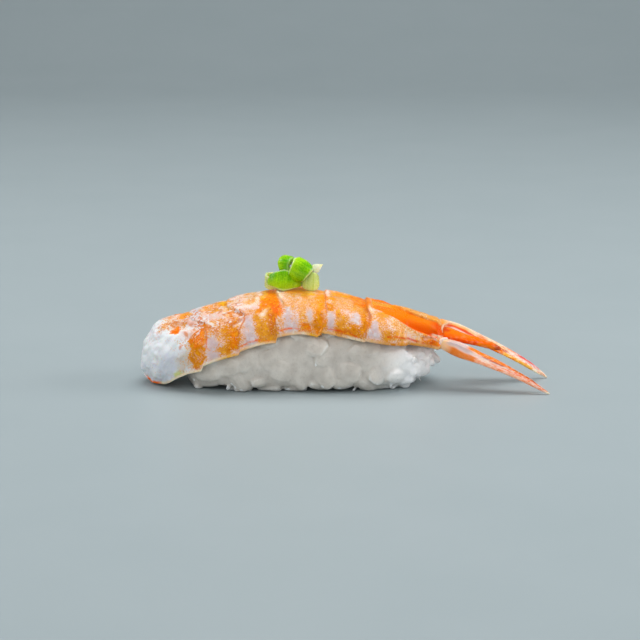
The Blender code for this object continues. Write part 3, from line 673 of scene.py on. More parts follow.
@dataclass
class ShrimpFlesh:
    """The cooked shrimp's body: a saddle over the rice whose segments overlap like tiles."""

    across: int = 185
    edge_steps: int = 7
    inner_steps: int = 21
    stations: tuple[int, ...] = (74, 42, 46, 56, 48, 82)
    rim_share: float = 0.035

    def section(self, x: Array, angle: Array) -> tuple[Array, Array]:
        """The back's section: a superellipse from hem to hem, its foot tucked in, drawn in at both ends.

        Args:
            x: places along the body.
            angle: -90 degrees at the near hem, 0 on the ridge and 90 degrees at the far hem, in radians.

        Returns:
            y and z at each place.
        """
        back, hem = line_value(BACK_LINE, x), self.hem(x)
        half_width = self.half_width(x)
        y = half_width * np.sign(np.sin(angle)) * np.abs(np.sin(angle)) ** (2 / SECTION_POWER)
        z = hem + (back - hem) * np.abs(np.cos(angle)) ** (2 / SECTION_POWER)
        return self.closed_towards_ends(x, self.tucked(x, y, z), z)

    @staticmethod
    def hem(x: Array) -> Array:
        """Height of the hem."""
        return np.maximum(line_value(HEM_LINE, x), 0.4)

    def half_width(self, x: Array) -> Array:
        """Half the body's width: its own, or what it takes to hang over the rice."""
        over_rice = rice_side(x, self.hem(x), CLEARANCE) + HEM_THICKNESS + np.abs(line_value(CENTRE_LINE, x))
        return np.maximum(line_value(HALF_WIDTH_LINE, x), over_rice)

    def tucked(self, x: Array, y: Array, z: Array) -> Array:
        """The section's y, drawn in towards the foot and set about the body's centre line."""
        back, hem = line_value(BACK_LINE, x), self.hem(x)
        low = np.clip((back - z) / (back - hem), 0, 1) ** 2.5
        return y * (1 - line_value(TUCK_LINE, x) * low) + line_value(CENTRE_LINE, x)

    @staticmethod
    def closed_towards_ends(x: Array, y: Array, z: Array) -> tuple[Array, Array]:
        """Draws a section in towards the body's centre by superellipses near its two ends."""
        head = np.clip((HEAD_X + HEAD_ROUNDING - x) / HEAD_ROUNDING, 0, 1)
        tail = np.clip((x - TAIL_X + TAIL_ROUNDING) / TAIL_ROUNDING, 0, 1)
        above = superellipse(head, 2.2) * superellipse(tail, 2.0)
        below = superellipse(head, 3.0) * superellipse(tail, 2.0)
        middle_z = np.where(x < 0, HEAD_CENTRE_Z, TAIL_CENTRE_Z)
        middle_y = line_value(CENTRE_LINE, x)
        z = middle_z + (z - middle_z) * np.where(z > middle_z, above, below)
        return middle_y + (y - middle_y) * above, np.maximum(z, 0.2)

    def even_angles(self, count: int = 420) -> tuple[Array, Array, Array]:
        """Section angles that step evenly round the back.

        Args:
            count: how many sections are measured.

        Returns:
            The sections' x, the angle for each section and share from hem to hem, and the length in
            millimetres from ridge to hem.
        """
        x = np.linspace(HEAD_X + 0.01, TAIL_X - 0.01, count)
        fine = np.linspace(-np.pi / 2, np.pi / 2, 361)
        y, z = self.section(x[:, None], fine[None, :])
        run = np.cumsum(np.hypot(np.diff(y, axis=1), np.diff(z, axis=1)), axis=1)
        run = np.concatenate([np.zeros((count, 1)), run], axis=1)
        half = run[:, 180:181]
        share = np.where(fine < 0, run / half - 1, (run - half) / (run[:, -1:] - half))
        sides = np.linspace(-1, 1, self.across)
        return x, np.array([np.interp(sides, row, fine) for row in share]), half[:, 0]

    def station_x(self, side: Array) -> tuple[Array, Array, Array]:
        """Lines of points along the body that run with the segments' rims.

        Args:
            side: -1 at the near hem to 1 at the far hem.

        Returns:
            x for each station and side, the number of each station's segment, and its share of the way
            through that segment.
        """
        rims = [np.full(side.shape, HEAD_X)] + [line_value(rim, np.abs(side)) for rim in RIMS]
        rims = np.array(rims + [np.full(side.shape, TAIL_X)])
        segment, share = [], []
        for k, count in enumerate(self.stations):
            if k == 0:
                turn = np.linspace(0.06, np.pi / 2, count // 2)
                part = np.concatenate([
                    HEAD_ROUNDING * (1 - np.cos(turn)) / 13.0,
                    np.linspace(HEAD_ROUNDING / 13.0, 0.96, count - count // 2 - 4)[1:],
                    (0.972, 0.982, 0.992),
                ])
            elif k == len(self.stations) - 1:
                turn = np.linspace(0, np.pi / 2 - 0.06, 12)
                start = 1 - TAIL_ROUNDING / 16.5
                part = np.concatenate([np.linspace(0, start, count - 12)[:-1], start + (1 - start) * np.sin(turn)])
            else:
                part = np.concatenate([np.linspace(0, 0.955, count - 3), (0.968, 0.98, 0.992)])
            segment.append(np.full(len(part), k))
            share.append(part)
        segment, share = np.concatenate(segment), np.concatenate(share)
        x = blend(rims[segment], rims[segment + 1], share[:, None])
        return x, segment, share

    def ramp(self, segment: Array, share: Array) -> tuple[Array, Array]:
        """How far each station stands out at its rim: the share squared, dropping over the last few hundredths.

        Args:
            segment: the number of each station's segment.
            share: its share of the way through.

        Returns:
            The rim's height and the hem's drop at each station, in millimetres.
        """
        shape = share ** 2 * np.clip((1 - share) / self.rim_share, 0, 1)
        steps = np.array((*RIM_STEPS, 0.0))[segment]
        lobes = np.array((*HEM_LOBES, 0.0))[segment]
        return shape * steps, shape * lobes

    def relief(self, lie: Lie) -> Array:
        """Folds, fibres and lumps of the skin, in millimetres outwards."""
        flat = np.stack([lie.x, lie.down * lie.girth * (1 - 2 * lie.far), 0 * lie.x], axis=-1)
        head = 1 - ease(-37.0, -31.0, lie.x)
        shell = shell_strip(lie)
        height = 0.10 * lumps(flat, 3.2, 11, 2) * (1 - shell)
        height += head * 0.3 * lumps(lie.points, 2.6, 23, 2)
        height += (1 - ease(-41.0, -38.0, lie.x)) * 0.3 * lumps(lie.points, 1.3, 29, 2)
        slant = flat @ np.array([[0.75, 0.25, 0.0], [0.66, -0.9, 0.0], [0.0, 0.0, 1.0]])
        height += (0.07 + 0.08 * head) * lumps(slant * np.array([2.2, 0.5, 1.0]), 1.2, 31, 2) * (1 - shell)
        height += 0.05 * self.streaks(flat) * (1 - shell)
        crinkled = ease(-36.0, -31.0, lie.x) * (1 - ease(-24.0, -20.0, lie.x)) * (1 - ease(0.5, 0.7, lie.down))
        folds = lumps(flat @ np.array([[0.5, -0.3, 0.0], [0.5, 1.1, 0.0], [0.0, 0.0, 1.0]]), 1.5, 37, 2)
        height += 0.22 * crinkled * (1 - np.clip(np.abs(folds) * 3.0, 0, 1))
        for ridge, rise in RIDGES:
            height += rise * ridge.mask(lie)
        height += 0.42 * shell
        return height

    def lie(self, grid: Array, x: Array, side: Array, girth: Array) -> Lie:
        """Where the outer skin's points lie."""
        down = np.broadcast_to(np.abs(side), x.shape)
        far = np.broadcast_to((side > 0).astype(float), x.shape)
        return Lie(x, down, girth, far, grid)

    def outer_skin(self) -> tuple[Array, Lie, Array, Array]:
        """The back's grid of points with its rims, lobes, folds and lumps.

        Returns:
            The grid, where its points lie, each station's rim height, and its hem drop.
        """
        side = np.linspace(-1, 1, self.across)
        x, segment, share = self.station_x(side)
        table_x, angles, half = self.even_angles()
        place = np.clip((x - table_x[0]) / (table_x[1] - table_x[0]), 0, len(table_x) - 1.001)
        row = place.astype(int)
        column = np.arange(self.across)[None, :]
        angle = blend(angles[row, column], angles[row + 1, column], place - row)
        y, z = self.section(x, angle)
        rise, drop = self.ramp(segment, share)
        back, hem = line_value(BACK_LINE, x), self.hem(x)
        high = np.clip((z - hem) / (back - hem), 0, 1)
        z = np.maximum(z - drop[:, None] * (1 - high), 0.25)
        grid = np.stack([x, y, z], axis=-1)
        lie = self.lie(grid, x, side, np.interp(x, table_x, half))
        normal = -grid_normals(grid)
        ends = ease(0.0, 0.5, x - HEAD_X) * ease(0.0, 0.8, TAIL_X - x)
        lift = rise[:, None] + self.relief(lie) * ends
        grid = grid + normal * lift[..., None]
        grid[..., 2] = np.maximum(grid[..., 2], 0.05)
        return grid, lie, rise, drop

    def inner_skin(self, outer: Array) -> Array:
        """The hem's rounded edges and the hollow underside that clears the rice, as points of each ring.

        Args:
            outer: the back's grid.

        Returns:
            A grid of the ring's remaining points, from the far hem back to the near one.
        """
        near, far = outer[:, 0], outer[:, -1]
        middle = (near[:, 0] + far[:, 0]) / 2
        x = middle[:, None]
        hem = self.hem(x)
        inner_width = self.half_width(x) - HEM_THICKNESS
        turn = np.linspace(np.pi / 2, -np.pi / 2, self.inner_steps)[None, :]
        inner_y = inner_width * np.sin(turn)
        belly = np.minimum(line_value(BELLY_LINE, x), hem)
        own_z = hem + (belly - hem) * superellipse(inner_y / inner_width, 2.0)
        inner_z = np.maximum(own_z, rice_top(x, inner_y + line_value(CENTRE_LINE, x), CLEARANCE))
        inner_z = np.minimum(inner_z, line_value(BACK_LINE, x) - 1.5)
        inner_y, inner_z = self.closed_towards_ends(x, self.tucked(x, inner_y, inner_z), inner_z)
        inner = np.stack([np.broadcast_to(x, inner_y.shape), inner_y, inner_z], axis=-1)
        round_edge = np.linspace(0, np.pi, self.edge_steps + 2)[1:-1][None, :, None]
        sink = np.array([0.0, 0.0, -1.0]) * HEM_THICKNESS * HEM_DIP * np.sin(round_edge)
        ends = np.clip((middle - HEAD_X) / 6.0, 0, 1)[:, None, None]
        share = (1 - np.cos(round_edge)) / 2
        far_edge = blend(far[:, None], inner[:, :1], share) + sink * ends
        near_edge = blend(inner[:, -1:], near[:, None], share) + sink * ends
        ring = np.concatenate([far_edge, inner, near_edge], axis=1)
        ring[..., 2] = np.maximum(ring[..., 2], 0.05)
        return ring

    def colours(self, lie: Lie) -> dict[str, Array]:
        """The ground colour, the pigment's colour and density, the shell strip and where fibre marks show, at each
        outer point.
        """
        frayed = lie.frayed(0.5, 3)
        close = lie.frayed(0.16, 7)
        ground = np.full((*lie.x.shape, 3), Shade.ROSE.value)
        for mark in GROUND:
            ground = blend(ground, np.array(mark.shade.value), mark.mask(frayed)[..., None])
        low = ease(0.42, 0.62, lie.down)
        stain = blend(np.array(Shade.TAN.value), np.array(Shade.OCHRE.value), low[..., None])
        density = blend(0.3, 0.42, low) * ease(-39.0, -31.0, lie.x)
        for mark in PIGMENT:
            cover = mark.mask(frayed)
            part = np.clip(cover / max(mark.strength, 1e-6), 0, 1)
            stain = blend(stain, np.array(mark.shade.value), part[..., None])
            density = blend(density, mark.strength, part)
        shell = shell_strip(close)
        colour = self.shell_colour(lie)
        ground, stain = blend(ground, colour, shell[..., None]), blend(stain, colour, shell[..., None])
        density = blend(density, 1.0, shell)
        flat = np.stack([lie.x, lie.down * lie.girth, lie.far], axis=-1)
        density = density + 0.22 * self.streaks(flat) * (1 - shell)
        broken = np.clip(0.85 + 0.7 * lumps(flat, 0.8, 61, 2), 0, 1)
        # Drawn lines, and one painted highlight, laid over both ground and stain.
        for mark in INK_AND_HIGHLIGHTS:
            cover = mark.mask(close) * broken
            ground = blend(ground, np.array(mark.shade.value), cover[..., None])
            stain = blend(stain, np.array(mark.shade.value), cover[..., None])
        hem = ease(0.0, 1.0, 1 - (1 - lie.down) * lie.girth / 0.55) * ease(-44.2, -43.2, lie.x)
        hem_tint = self.hem_colour(lie)
        ground, stain = blend(ground, hem_tint, hem[..., None]), blend(stain, hem_tint, hem[..., None])
        fibre = ease(-41.0, -37.0, lie.x) * (1 - ease(-24.0, -20.0, lie.x)) * (1 - ease(0.55, 0.75, lie.down))
        fibre = np.clip(0.8 * fibre + 0.5 * np.clip(lumps(flat, 3.0, 83), 0, 1), 0, 1) * (1 - shell)
        fibre *= 1 - ease(0.24, 0.42, lie.down) * (1 - ease(-34.5, -32.0, lie.x))
        return {"ground": ground, "stain": stain, "pigment": density, "shell": shell, "fibre": fibre}

    @staticmethod
    def shell_colour(lie: Lie) -> Array:
        """The last segment's shell: amber, redder towards its lower edge and its rear."""
        low = ease(0.34, 0.62, lie.down) * ease(7.0, 15.0, lie.x)
        colour = blend(np.array(Shade.AMBER.value), np.array(Shade.ORANGE.value), ease(5.2, 7.0, lie.x)[..., None])
        high = ease(0.16, 0.06, lie.down) * (1 - ease(9.0, 12.0, lie.x))
        colour = blend(colour, np.array(Shade.YELLOW.value), (0.6 * high)[..., None])
        joint = np.maximum(0.8 * low, 0.8 * ease(17.5, 20.0, lie.x))
        colour = blend(colour, np.array(Shade.RED.value), joint[..., None])
        notch = np.exp(-((lie.x - 14.6) / 1.2) ** 2 - ((lie.down - 0.2) / 0.05) ** 2)
        return blend(colour, np.array(Shade.RED.value), (0.7 * notch)[..., None])

    @staticmethod
    def hem_colour(lie: Lie) -> Array:
        """The hem's thin edge: the colours of the hem's table, mixed straight between its places."""
        places = [x for x, _ in HEM_TINTS]
        shades = np.array([shade.value for _, shade in HEM_TINTS])
        return np.stack([np.interp(lie.x, places, channel) for channel in shades.T], axis=-1)

    @staticmethod
    def streaks(flat: Array) -> Array:
        """Streaks a millimetre wide: slanting down towards the tail on the front half, upright behind."""
        slanting = np.stack([0.7 * flat[..., 0] - 0.9 * flat[..., 1], 0.3 * flat[..., 0] + 0.2 * flat[..., 1],
                             flat[..., 2]], axis=-1)
        upright = flat * np.array([1.1, 0.3, 1.0])
        behind = ease(-19.0, -13.0, flat[..., 0])
        return blend(lumps(slanting, 0.9, 71, 2), lumps(upright, 0.9, 71, 2), behind)

    def build(self, finish: "FleshFinish") -> bpy.types.Object:
        """Builds the body as one closed skin and dresses it.

        Args:
            finish: the flesh's finish.

        Returns:
            The object.
        """
        outer, lie, _, _ = self.outer_skin()
        inner = self.inner_skin(outer)
        rings = np.concatenate([outer, inner], axis=1)
        first = np.array([HEAD_X, float(line_value(CENTRE_LINE, HEAD_X)), HEAD_CENTRE_Z])
        last = np.array([TAIL_X, float(line_value(CENTRE_LINE, TAIL_X)), TAIL_CENTRE_Z])
        points, faces = closed_skin(rings, first, last)
        values = self.colours(lie)
        under = {"ground": Shade.ROSE.value, "stain": Shade.TAN.value, "pigment": 0.1, "shell": 0.0, "fibre": 0.0}
        spread = {}
        for key, value in values.items():
            plain = np.array(under[key], float)
            below = np.broadcast_to(plain, (*inner.shape[:2], *plain.shape)).copy()
            edge = self.edge_steps
            below[:, :edge] = value[:, -1:]
            below[:, -edge:] = value[:, :1]
            whole = np.concatenate([value, below], axis=1).reshape(-1, *plain.shape)
            spread[key] = np.concatenate([whole, whole[:1], whole[-1:]])
        return piece("shrimp_body", points, faces, spread, finish.material())


def shell_strip(lie: Lie) -> Array:
    """1 on the smooth strip of shell left along the last segment, 0 off it."""
    upper = line_value(((5.4, 0.0), (8.0, -0.02), (10.0, 0.0), (12.0, 0.06), (14.0, 0.18), (16.0, 0.22), (21.0, 0.23)),
                       lie.x)
    lower = line_value(((5.4, 0.32), (8.0, 0.41), (10.0, 0.49), (12.0, 0.57), (14.0, 0.65), (16.0, 0.7), (21.0, 0.77)),
                       lie.x)
    across = ease(-0.25, 0.25, (lie.down - upper) * lie.girth) * ease(-0.25, 0.25, (lower - lie.down) * lie.girth)
    return across * ease(-0.2, 0.3, lie.x - 5.7)


RIDGES: tuple[tuple[Patch | Streak, float], ...] = (
    (Streak(((-37.0, 0.3), (-35.0, 0.36), (-33.0, 0.42), (-31.2, 0.48)), 0.8, soft=0.9), 0.35),
    (Streak(((-24.6, 0.66), (-23.4, 0.63), (-22.6, 0.6)), 0.3, soft=0.9), 0.2),
    (Streak(((-26.4, 0.12), (-25.6, 0.32), (-23.6, 0.44), (-22.4, 0.53)), 0.35, soft=0.9), 0.22),
    (Streak(((-14.9, 0.1), (-14.4, 0.28), (-13.9, 0.4)), 0.3, soft=0.9), -0.25),
    (Streak(((-10.0, 0.98), (-8.4, 0.9), (-6.4, 0.9), (-5.4, 0.99)), 0.5, soft=0.9), 0.15),
    (Streak(((16.6, 0.86), (18.0, 0.8), (19.4, 0.82), (20.6, 0.9)), 0.35, soft=0.9), 0.3),
    (Streak(((19.2, 0.62), (19.6, 0.72), (20.6, 0.78)), 0.3, soft=0.9), 0.3),
)


def rice_end_scale(x: Array, grow: float = 0.0) -> Array:
    """How full the rice block's section is at x: 1 in the middle and 0 at its ends."""
    share = (x - RICE_MIDDLE_X) / (RICE_HALF_LENGTH + grow)
    return np.where(x < RICE_MIDDLE_X, superellipse(share, RICE_HEAD_POWER), superellipse(share, RICE_TAIL_POWER))


def rice_top(x: Array, y: Array, grow: float = 0.0) -> Array:
    """Height of the rice block's upper surface, or far below where there is no rice."""
    scale = rice_end_scale(x, grow)
    half_width = np.maximum((RICE_HALF_WIDTH + grow) * scale, 1e-6)
    rise = (line_value(RICE_RIDGE, x) + grow - RICE_WAIST) * scale
    height = RICE_WAIST + rise * superellipse(y / half_width, RICE_SIDE_POWER)
    return np.where(np.abs(y) < half_width, height, -1e3)


def rice_side(x: Array, z: Array, grow: float = 0.0) -> Array:
    """Half width of the rice block at height z above its waist, or 0 where it doesn't reach."""
    scale = rice_end_scale(x, grow)
    rise = np.maximum((line_value(RICE_RIDGE, x) + grow - RICE_WAIST) * scale, 1e-6)
    above = np.clip(z - RICE_WAIST, 0, None) / rise
    return (RICE_HALF_WIDTH + grow) * scale * superellipse(above, RICE_SIDE_POWER)


@dataclass(frozen=True)
class FleshFinish:
    """Cooked shrimp: speckled pigment over milky, half see-through flesh, wet all over."""

    speckle: float = 0.27
    roughness: float = 0.36
    depth: float = 0.7

    def material(self) -> bpy.types.Material:
        """The material."""
        graph = Graph("cooked_shrimp")
        ground, stain = graph.attribute("ground", True), graph.attribute("stain", True)
        density, shell = graph.attribute("pigment"), graph.attribute("shell")
        own = 1 - shell
        grain = 0.85 * graph.noise(self.speckle, 1.0) + 0.15 * graph.noise(self.speckle * 3.0, 2.0)
        cover = (0.5 + 3.8 * (grain - 0.5) + 2.1 * (density - 0.5)).clamped()
        fibre = graph.attribute("fibre")
        lines = graph.noise(1.9, 2.0, graph.place((0.4, 1.0, 1.1), -0.5), 0.6)
        broken = graph.noise(1.3, 1.0).eased(0.42, 0.55) * fibre
        marks = (1.6 - graph.maths("ABSOLUTE", lines - 0.5) * 30).clamped() * broken
        # Painted highlights: milky lines beside the rust fold marks on the head stand in for light caught along the
        # folds; the same lines are raised in the bump.
        pale_fold_highlights = (1.6 - graph.maths("ABSOLUTE", lines - 0.58) * 28).clamped() * broken
        wet = graph.noise(0.55, 2.0).eased(0.55, 0.68)
        warm = graph.mixed(stain, Shade.YELLOW.value, 0.45 * graph.noise(0.7, 2.0).eased(0.48, 0.66) * own)
        rusty = graph.noise(0.32, 2.0).eased(0.56, 0.68)
        warm = graph.mixed(warm, Shade.RUST.value, 0.55 * rusty * own)
        dots = graph.cells(1.1)
        warm = graph.mixed(warm, Shade.BROWN.value, 0.5 * (1 - dots.eased(0.1, 0.26)) * own)
        pale = graph.mixed(ground, Shade.MILK.value, 0.35 * graph.noise(0.9, 2.0).eased(0.5, 0.7) * own)
        colour = graph.mixed(pale, warm, cover)
        colour = graph.mixed(colour, Shade.MILK.value, 0.7 * pale_fold_highlights)
        colour = graph.mixed(colour, Shade.RUST.value, 0.8 * marks)
        fine = graph.noise(0.24, 2.0)
        height = 0.5 * grain + 0.3 * fine + 0.5 * pale_fold_highlights
        return graph.dress(
            Base_Color=colour,
            Roughness=(self.roughness + 0.22 * (fine - 0.5) - 0.1 * shell).clamped(),
            Specular_IOR_Level=0.1,
            Coat_Weight=(0.02 + 0.5 * wet * own).clamped(), Coat_Roughness=0.1,
            Subsurface_Weight=0.25, Subsurface_Radius=(1.0, 0.42, 0.16), Subsurface_Scale=self.depth * MM,
            Normal=graph.bump(height, 0.16, 0.7),
        )


# ---- the tail fan -------------------------------------------------------------------------------
@dataclass(frozen=True)
class Stripe:
    """A stripe along a plate: from one share of its length to another, at a place across it from -1 to 1."""

    start: float
    end: float
    at: Line
    half_width: float
    shade: Shade
    strength: float = 1.0

    def mask(self, share: Array, across: Array) -> Array:
        """1 on the stripe, easing to 0 past its half width and its two ends."""
        off = np.abs(across - line_value(self.at, share))
        side = 1 - ease(self.half_width * 0.6, self.half_width * 1.4, off)
        ends = ease(self.start - 0.03, self.start + 0.03, share) * (1 - ease(self.end - 0.03, self.end + 0.03, share))
        return side * ends * self.strength


@dataclass
class TailPlate:
    """One plate of the tail fan: a lens-shaped blade folded from its midrib, along a line from root to tip."""

    name: str
    root: tuple[float, float, float]
    tip: tuple[float, float, float]
    half_width: float
    half_thickness: float
    root_thickness: float
    roll: tuple[float, float]
    arch: float
    widest: float
    base: Shade
    stripes: tuple[Stripe, ...]
    ridges: tuple[tuple[float, float, float], ...] = ((0.0, 0.16, 0.16),)
    fold: float = 0.18
    specks: float = 1.25
    rings: int = 150
    around: int = 64

    def leaf_width(self, share: Array) -> Array:
        """A leaf's half width along its length, 1 at its widest and drawn in to a blunt tip."""
        rising = 0.55 + 0.45 * np.sin(np.clip(share / self.widest, 0, 1) * np.pi / 2)
        falling = 1 - 0.86 * np.clip((share - self.widest) / (1 - self.widest), 0, 1) ** 1.15
        return np.where(share < self.widest, rising, falling)

    def skin(self) -> tuple[Array, Array, Array]:
        """Rings of the blade: middle + width cos(a) across + (thickness sin(a) - fold + ridges) up.

        Returns:
            The rings, and each point's share along and place across, from -1 to 1.
        """
        root, tip = np.array(self.root), np.array(self.tip)
        length = np.linalg.norm(tip - root)
        along = (tip - root) / length
        level = np.cross((0.0, 0.0, 1.0), along)
        level /= np.linalg.norm(level)
        upright = np.cross(along, level)
        ends = (1 - np.cos(np.linspace(0.05, np.pi - 0.05, self.rings))) / 2
        share = (0.25 * ends + 0.75 * np.linspace(0.004, 0.996, self.rings))[:, None]
        angle = np.linspace(0, 2 * np.pi, self.around, endpoint=False)[None, :]
        turn = np.radians(self.roll[0] + (self.roll[1] - self.roll[0]) * np.minimum(1.0, 1.4 * share))
        sideways = level * np.cos(turn)[..., None] + upright * np.sin(turn)[..., None]
        normal = upright * np.cos(turn)[..., None] - level * np.sin(turn)[..., None]
        blunt = superellipse(np.clip((share - 0.955) / 0.045, 0, 1), 2.0) * superellipse(np.clip((0.03 - share) / 0.03, 0, 1), 2.0)
        width = self.half_width * self.leaf_width(share) * blunt
        stout = (self.root_thickness - self.half_thickness) * np.maximum(0.0, 1 - share / 0.34) ** 0.8
        thick = (self.half_thickness + stout) * np.minimum(1.0, np.minimum(0.55 + 3.0 * share, 0.5 + 3.0 * (1 - share)))
        middle = root + along * (length * share)[..., None] + upright * (self.arch * 4 * share * (1 - share))[..., None]
        across = np.cos(angle) + 0 * share
        upper = np.sin(angle)
        lift = thick * blunt * upper - self.fold * np.abs(width * across)
        for at, rise, half in self.ridges:
            bar = np.exp(-((across - at) / half) ** 2) * np.clip(upper * 3, 0, 1)
            lift = lift + rise * bar * ease(0.02, 0.12, share) * (1 - ease(0.8, 0.98, share))
        rings = middle + (width * across)[..., None] * sideways + lift[..., None] * normal
        return rings, share + 0 * angle, across

    def build(self, finish: "ShellFinish") -> bpy.types.Object:
        """Builds the plate and paints its stripes.

        Args:
            finish: the shell's finish.

        Returns:
            The object.
        """
        rings, share, across = self.skin()
        points, faces = closed_skin(rings, np.array(self.root), np.array(self.tip))
        wander = lumps(rings, 2.4, 5, 2)
        colour = np.broadcast_to(np.array(self.base.value), rings.shape)
        for stripe in self.stripes:
            cover = stripe.mask(share + 0.02 * wander, across + 0.12 * wander)
            colour = blend(colour, np.array(stripe.shade.value), cover[..., None])
        flat = colour.reshape(-1, 3)
        specks = (self.specks * ease(0.15, 0.6, share + 0 * across)).reshape(-1)
        values = {"shade": np.concatenate([flat, flat[:1], flat[-1:]]), "specks": np.append(specks, (0.0, 0.0))}
        return piece(self.name, points, faces, values, finish.material())


@dataclass
class TailFold:
    """A thick fold of skin at the root of the tail fan: a rounded cord laid along a bent path."""

    name: str
    path: tuple[tuple[float, float, float], ...]
    radius: float
    shade: Shade
    steps: int = 60
    around: int = 20

    def build(self, finish: "ShellFinish") -> bpy.types.Object:
        """Builds the cord as rings across its path, thinner at both ends.

        Args:
            finish: the shell's finish.

        Returns:
            The object.
        """
        knots = np.array(self.path)
        place = np.linspace(0, len(knots) - 1, self.steps)
        middle = np.stack([np.interp(place, np.arange(len(knots)), knots[:, k]) for k in range(3)], axis=1)
        for _ in range(6):
            middle[1:-1] = (middle[:-2] + 2 * middle[1:-1] + middle[2:]) / 4
        along = unit(np.gradient(middle, axis=0))
        side = unit(np.cross(along, (0.2, -1.0, 0.3)))
        out = np.cross(side, along)
        share = np.linspace(0, 1, self.steps)
        radius = self.radius * np.sqrt(np.clip(4 * share * (1 - share), 0.01, 1)) ** 0.8
        angle = np.linspace(0, 2 * np.pi, self.around, endpoint=False)[None, :, None]
        rings = middle[:, None] + radius[:, None, None] * (np.cos(angle) * side[:, None] + np.sin(angle) * out[:, None])
        rings = rings + 0.06 * lumps(rings, 0.8, 17, 2)[..., None] * out[:, None]
        points, faces = closed_skin(rings, rings[0].mean(axis=0), rings[-1].mean(axis=0))
        shade = np.tile(self.shade.value, (len(points), 1))
        return piece(self.name, points, faces, {"shade": shade, "specks": np.full(len(points), 0.3)}, finish.material())


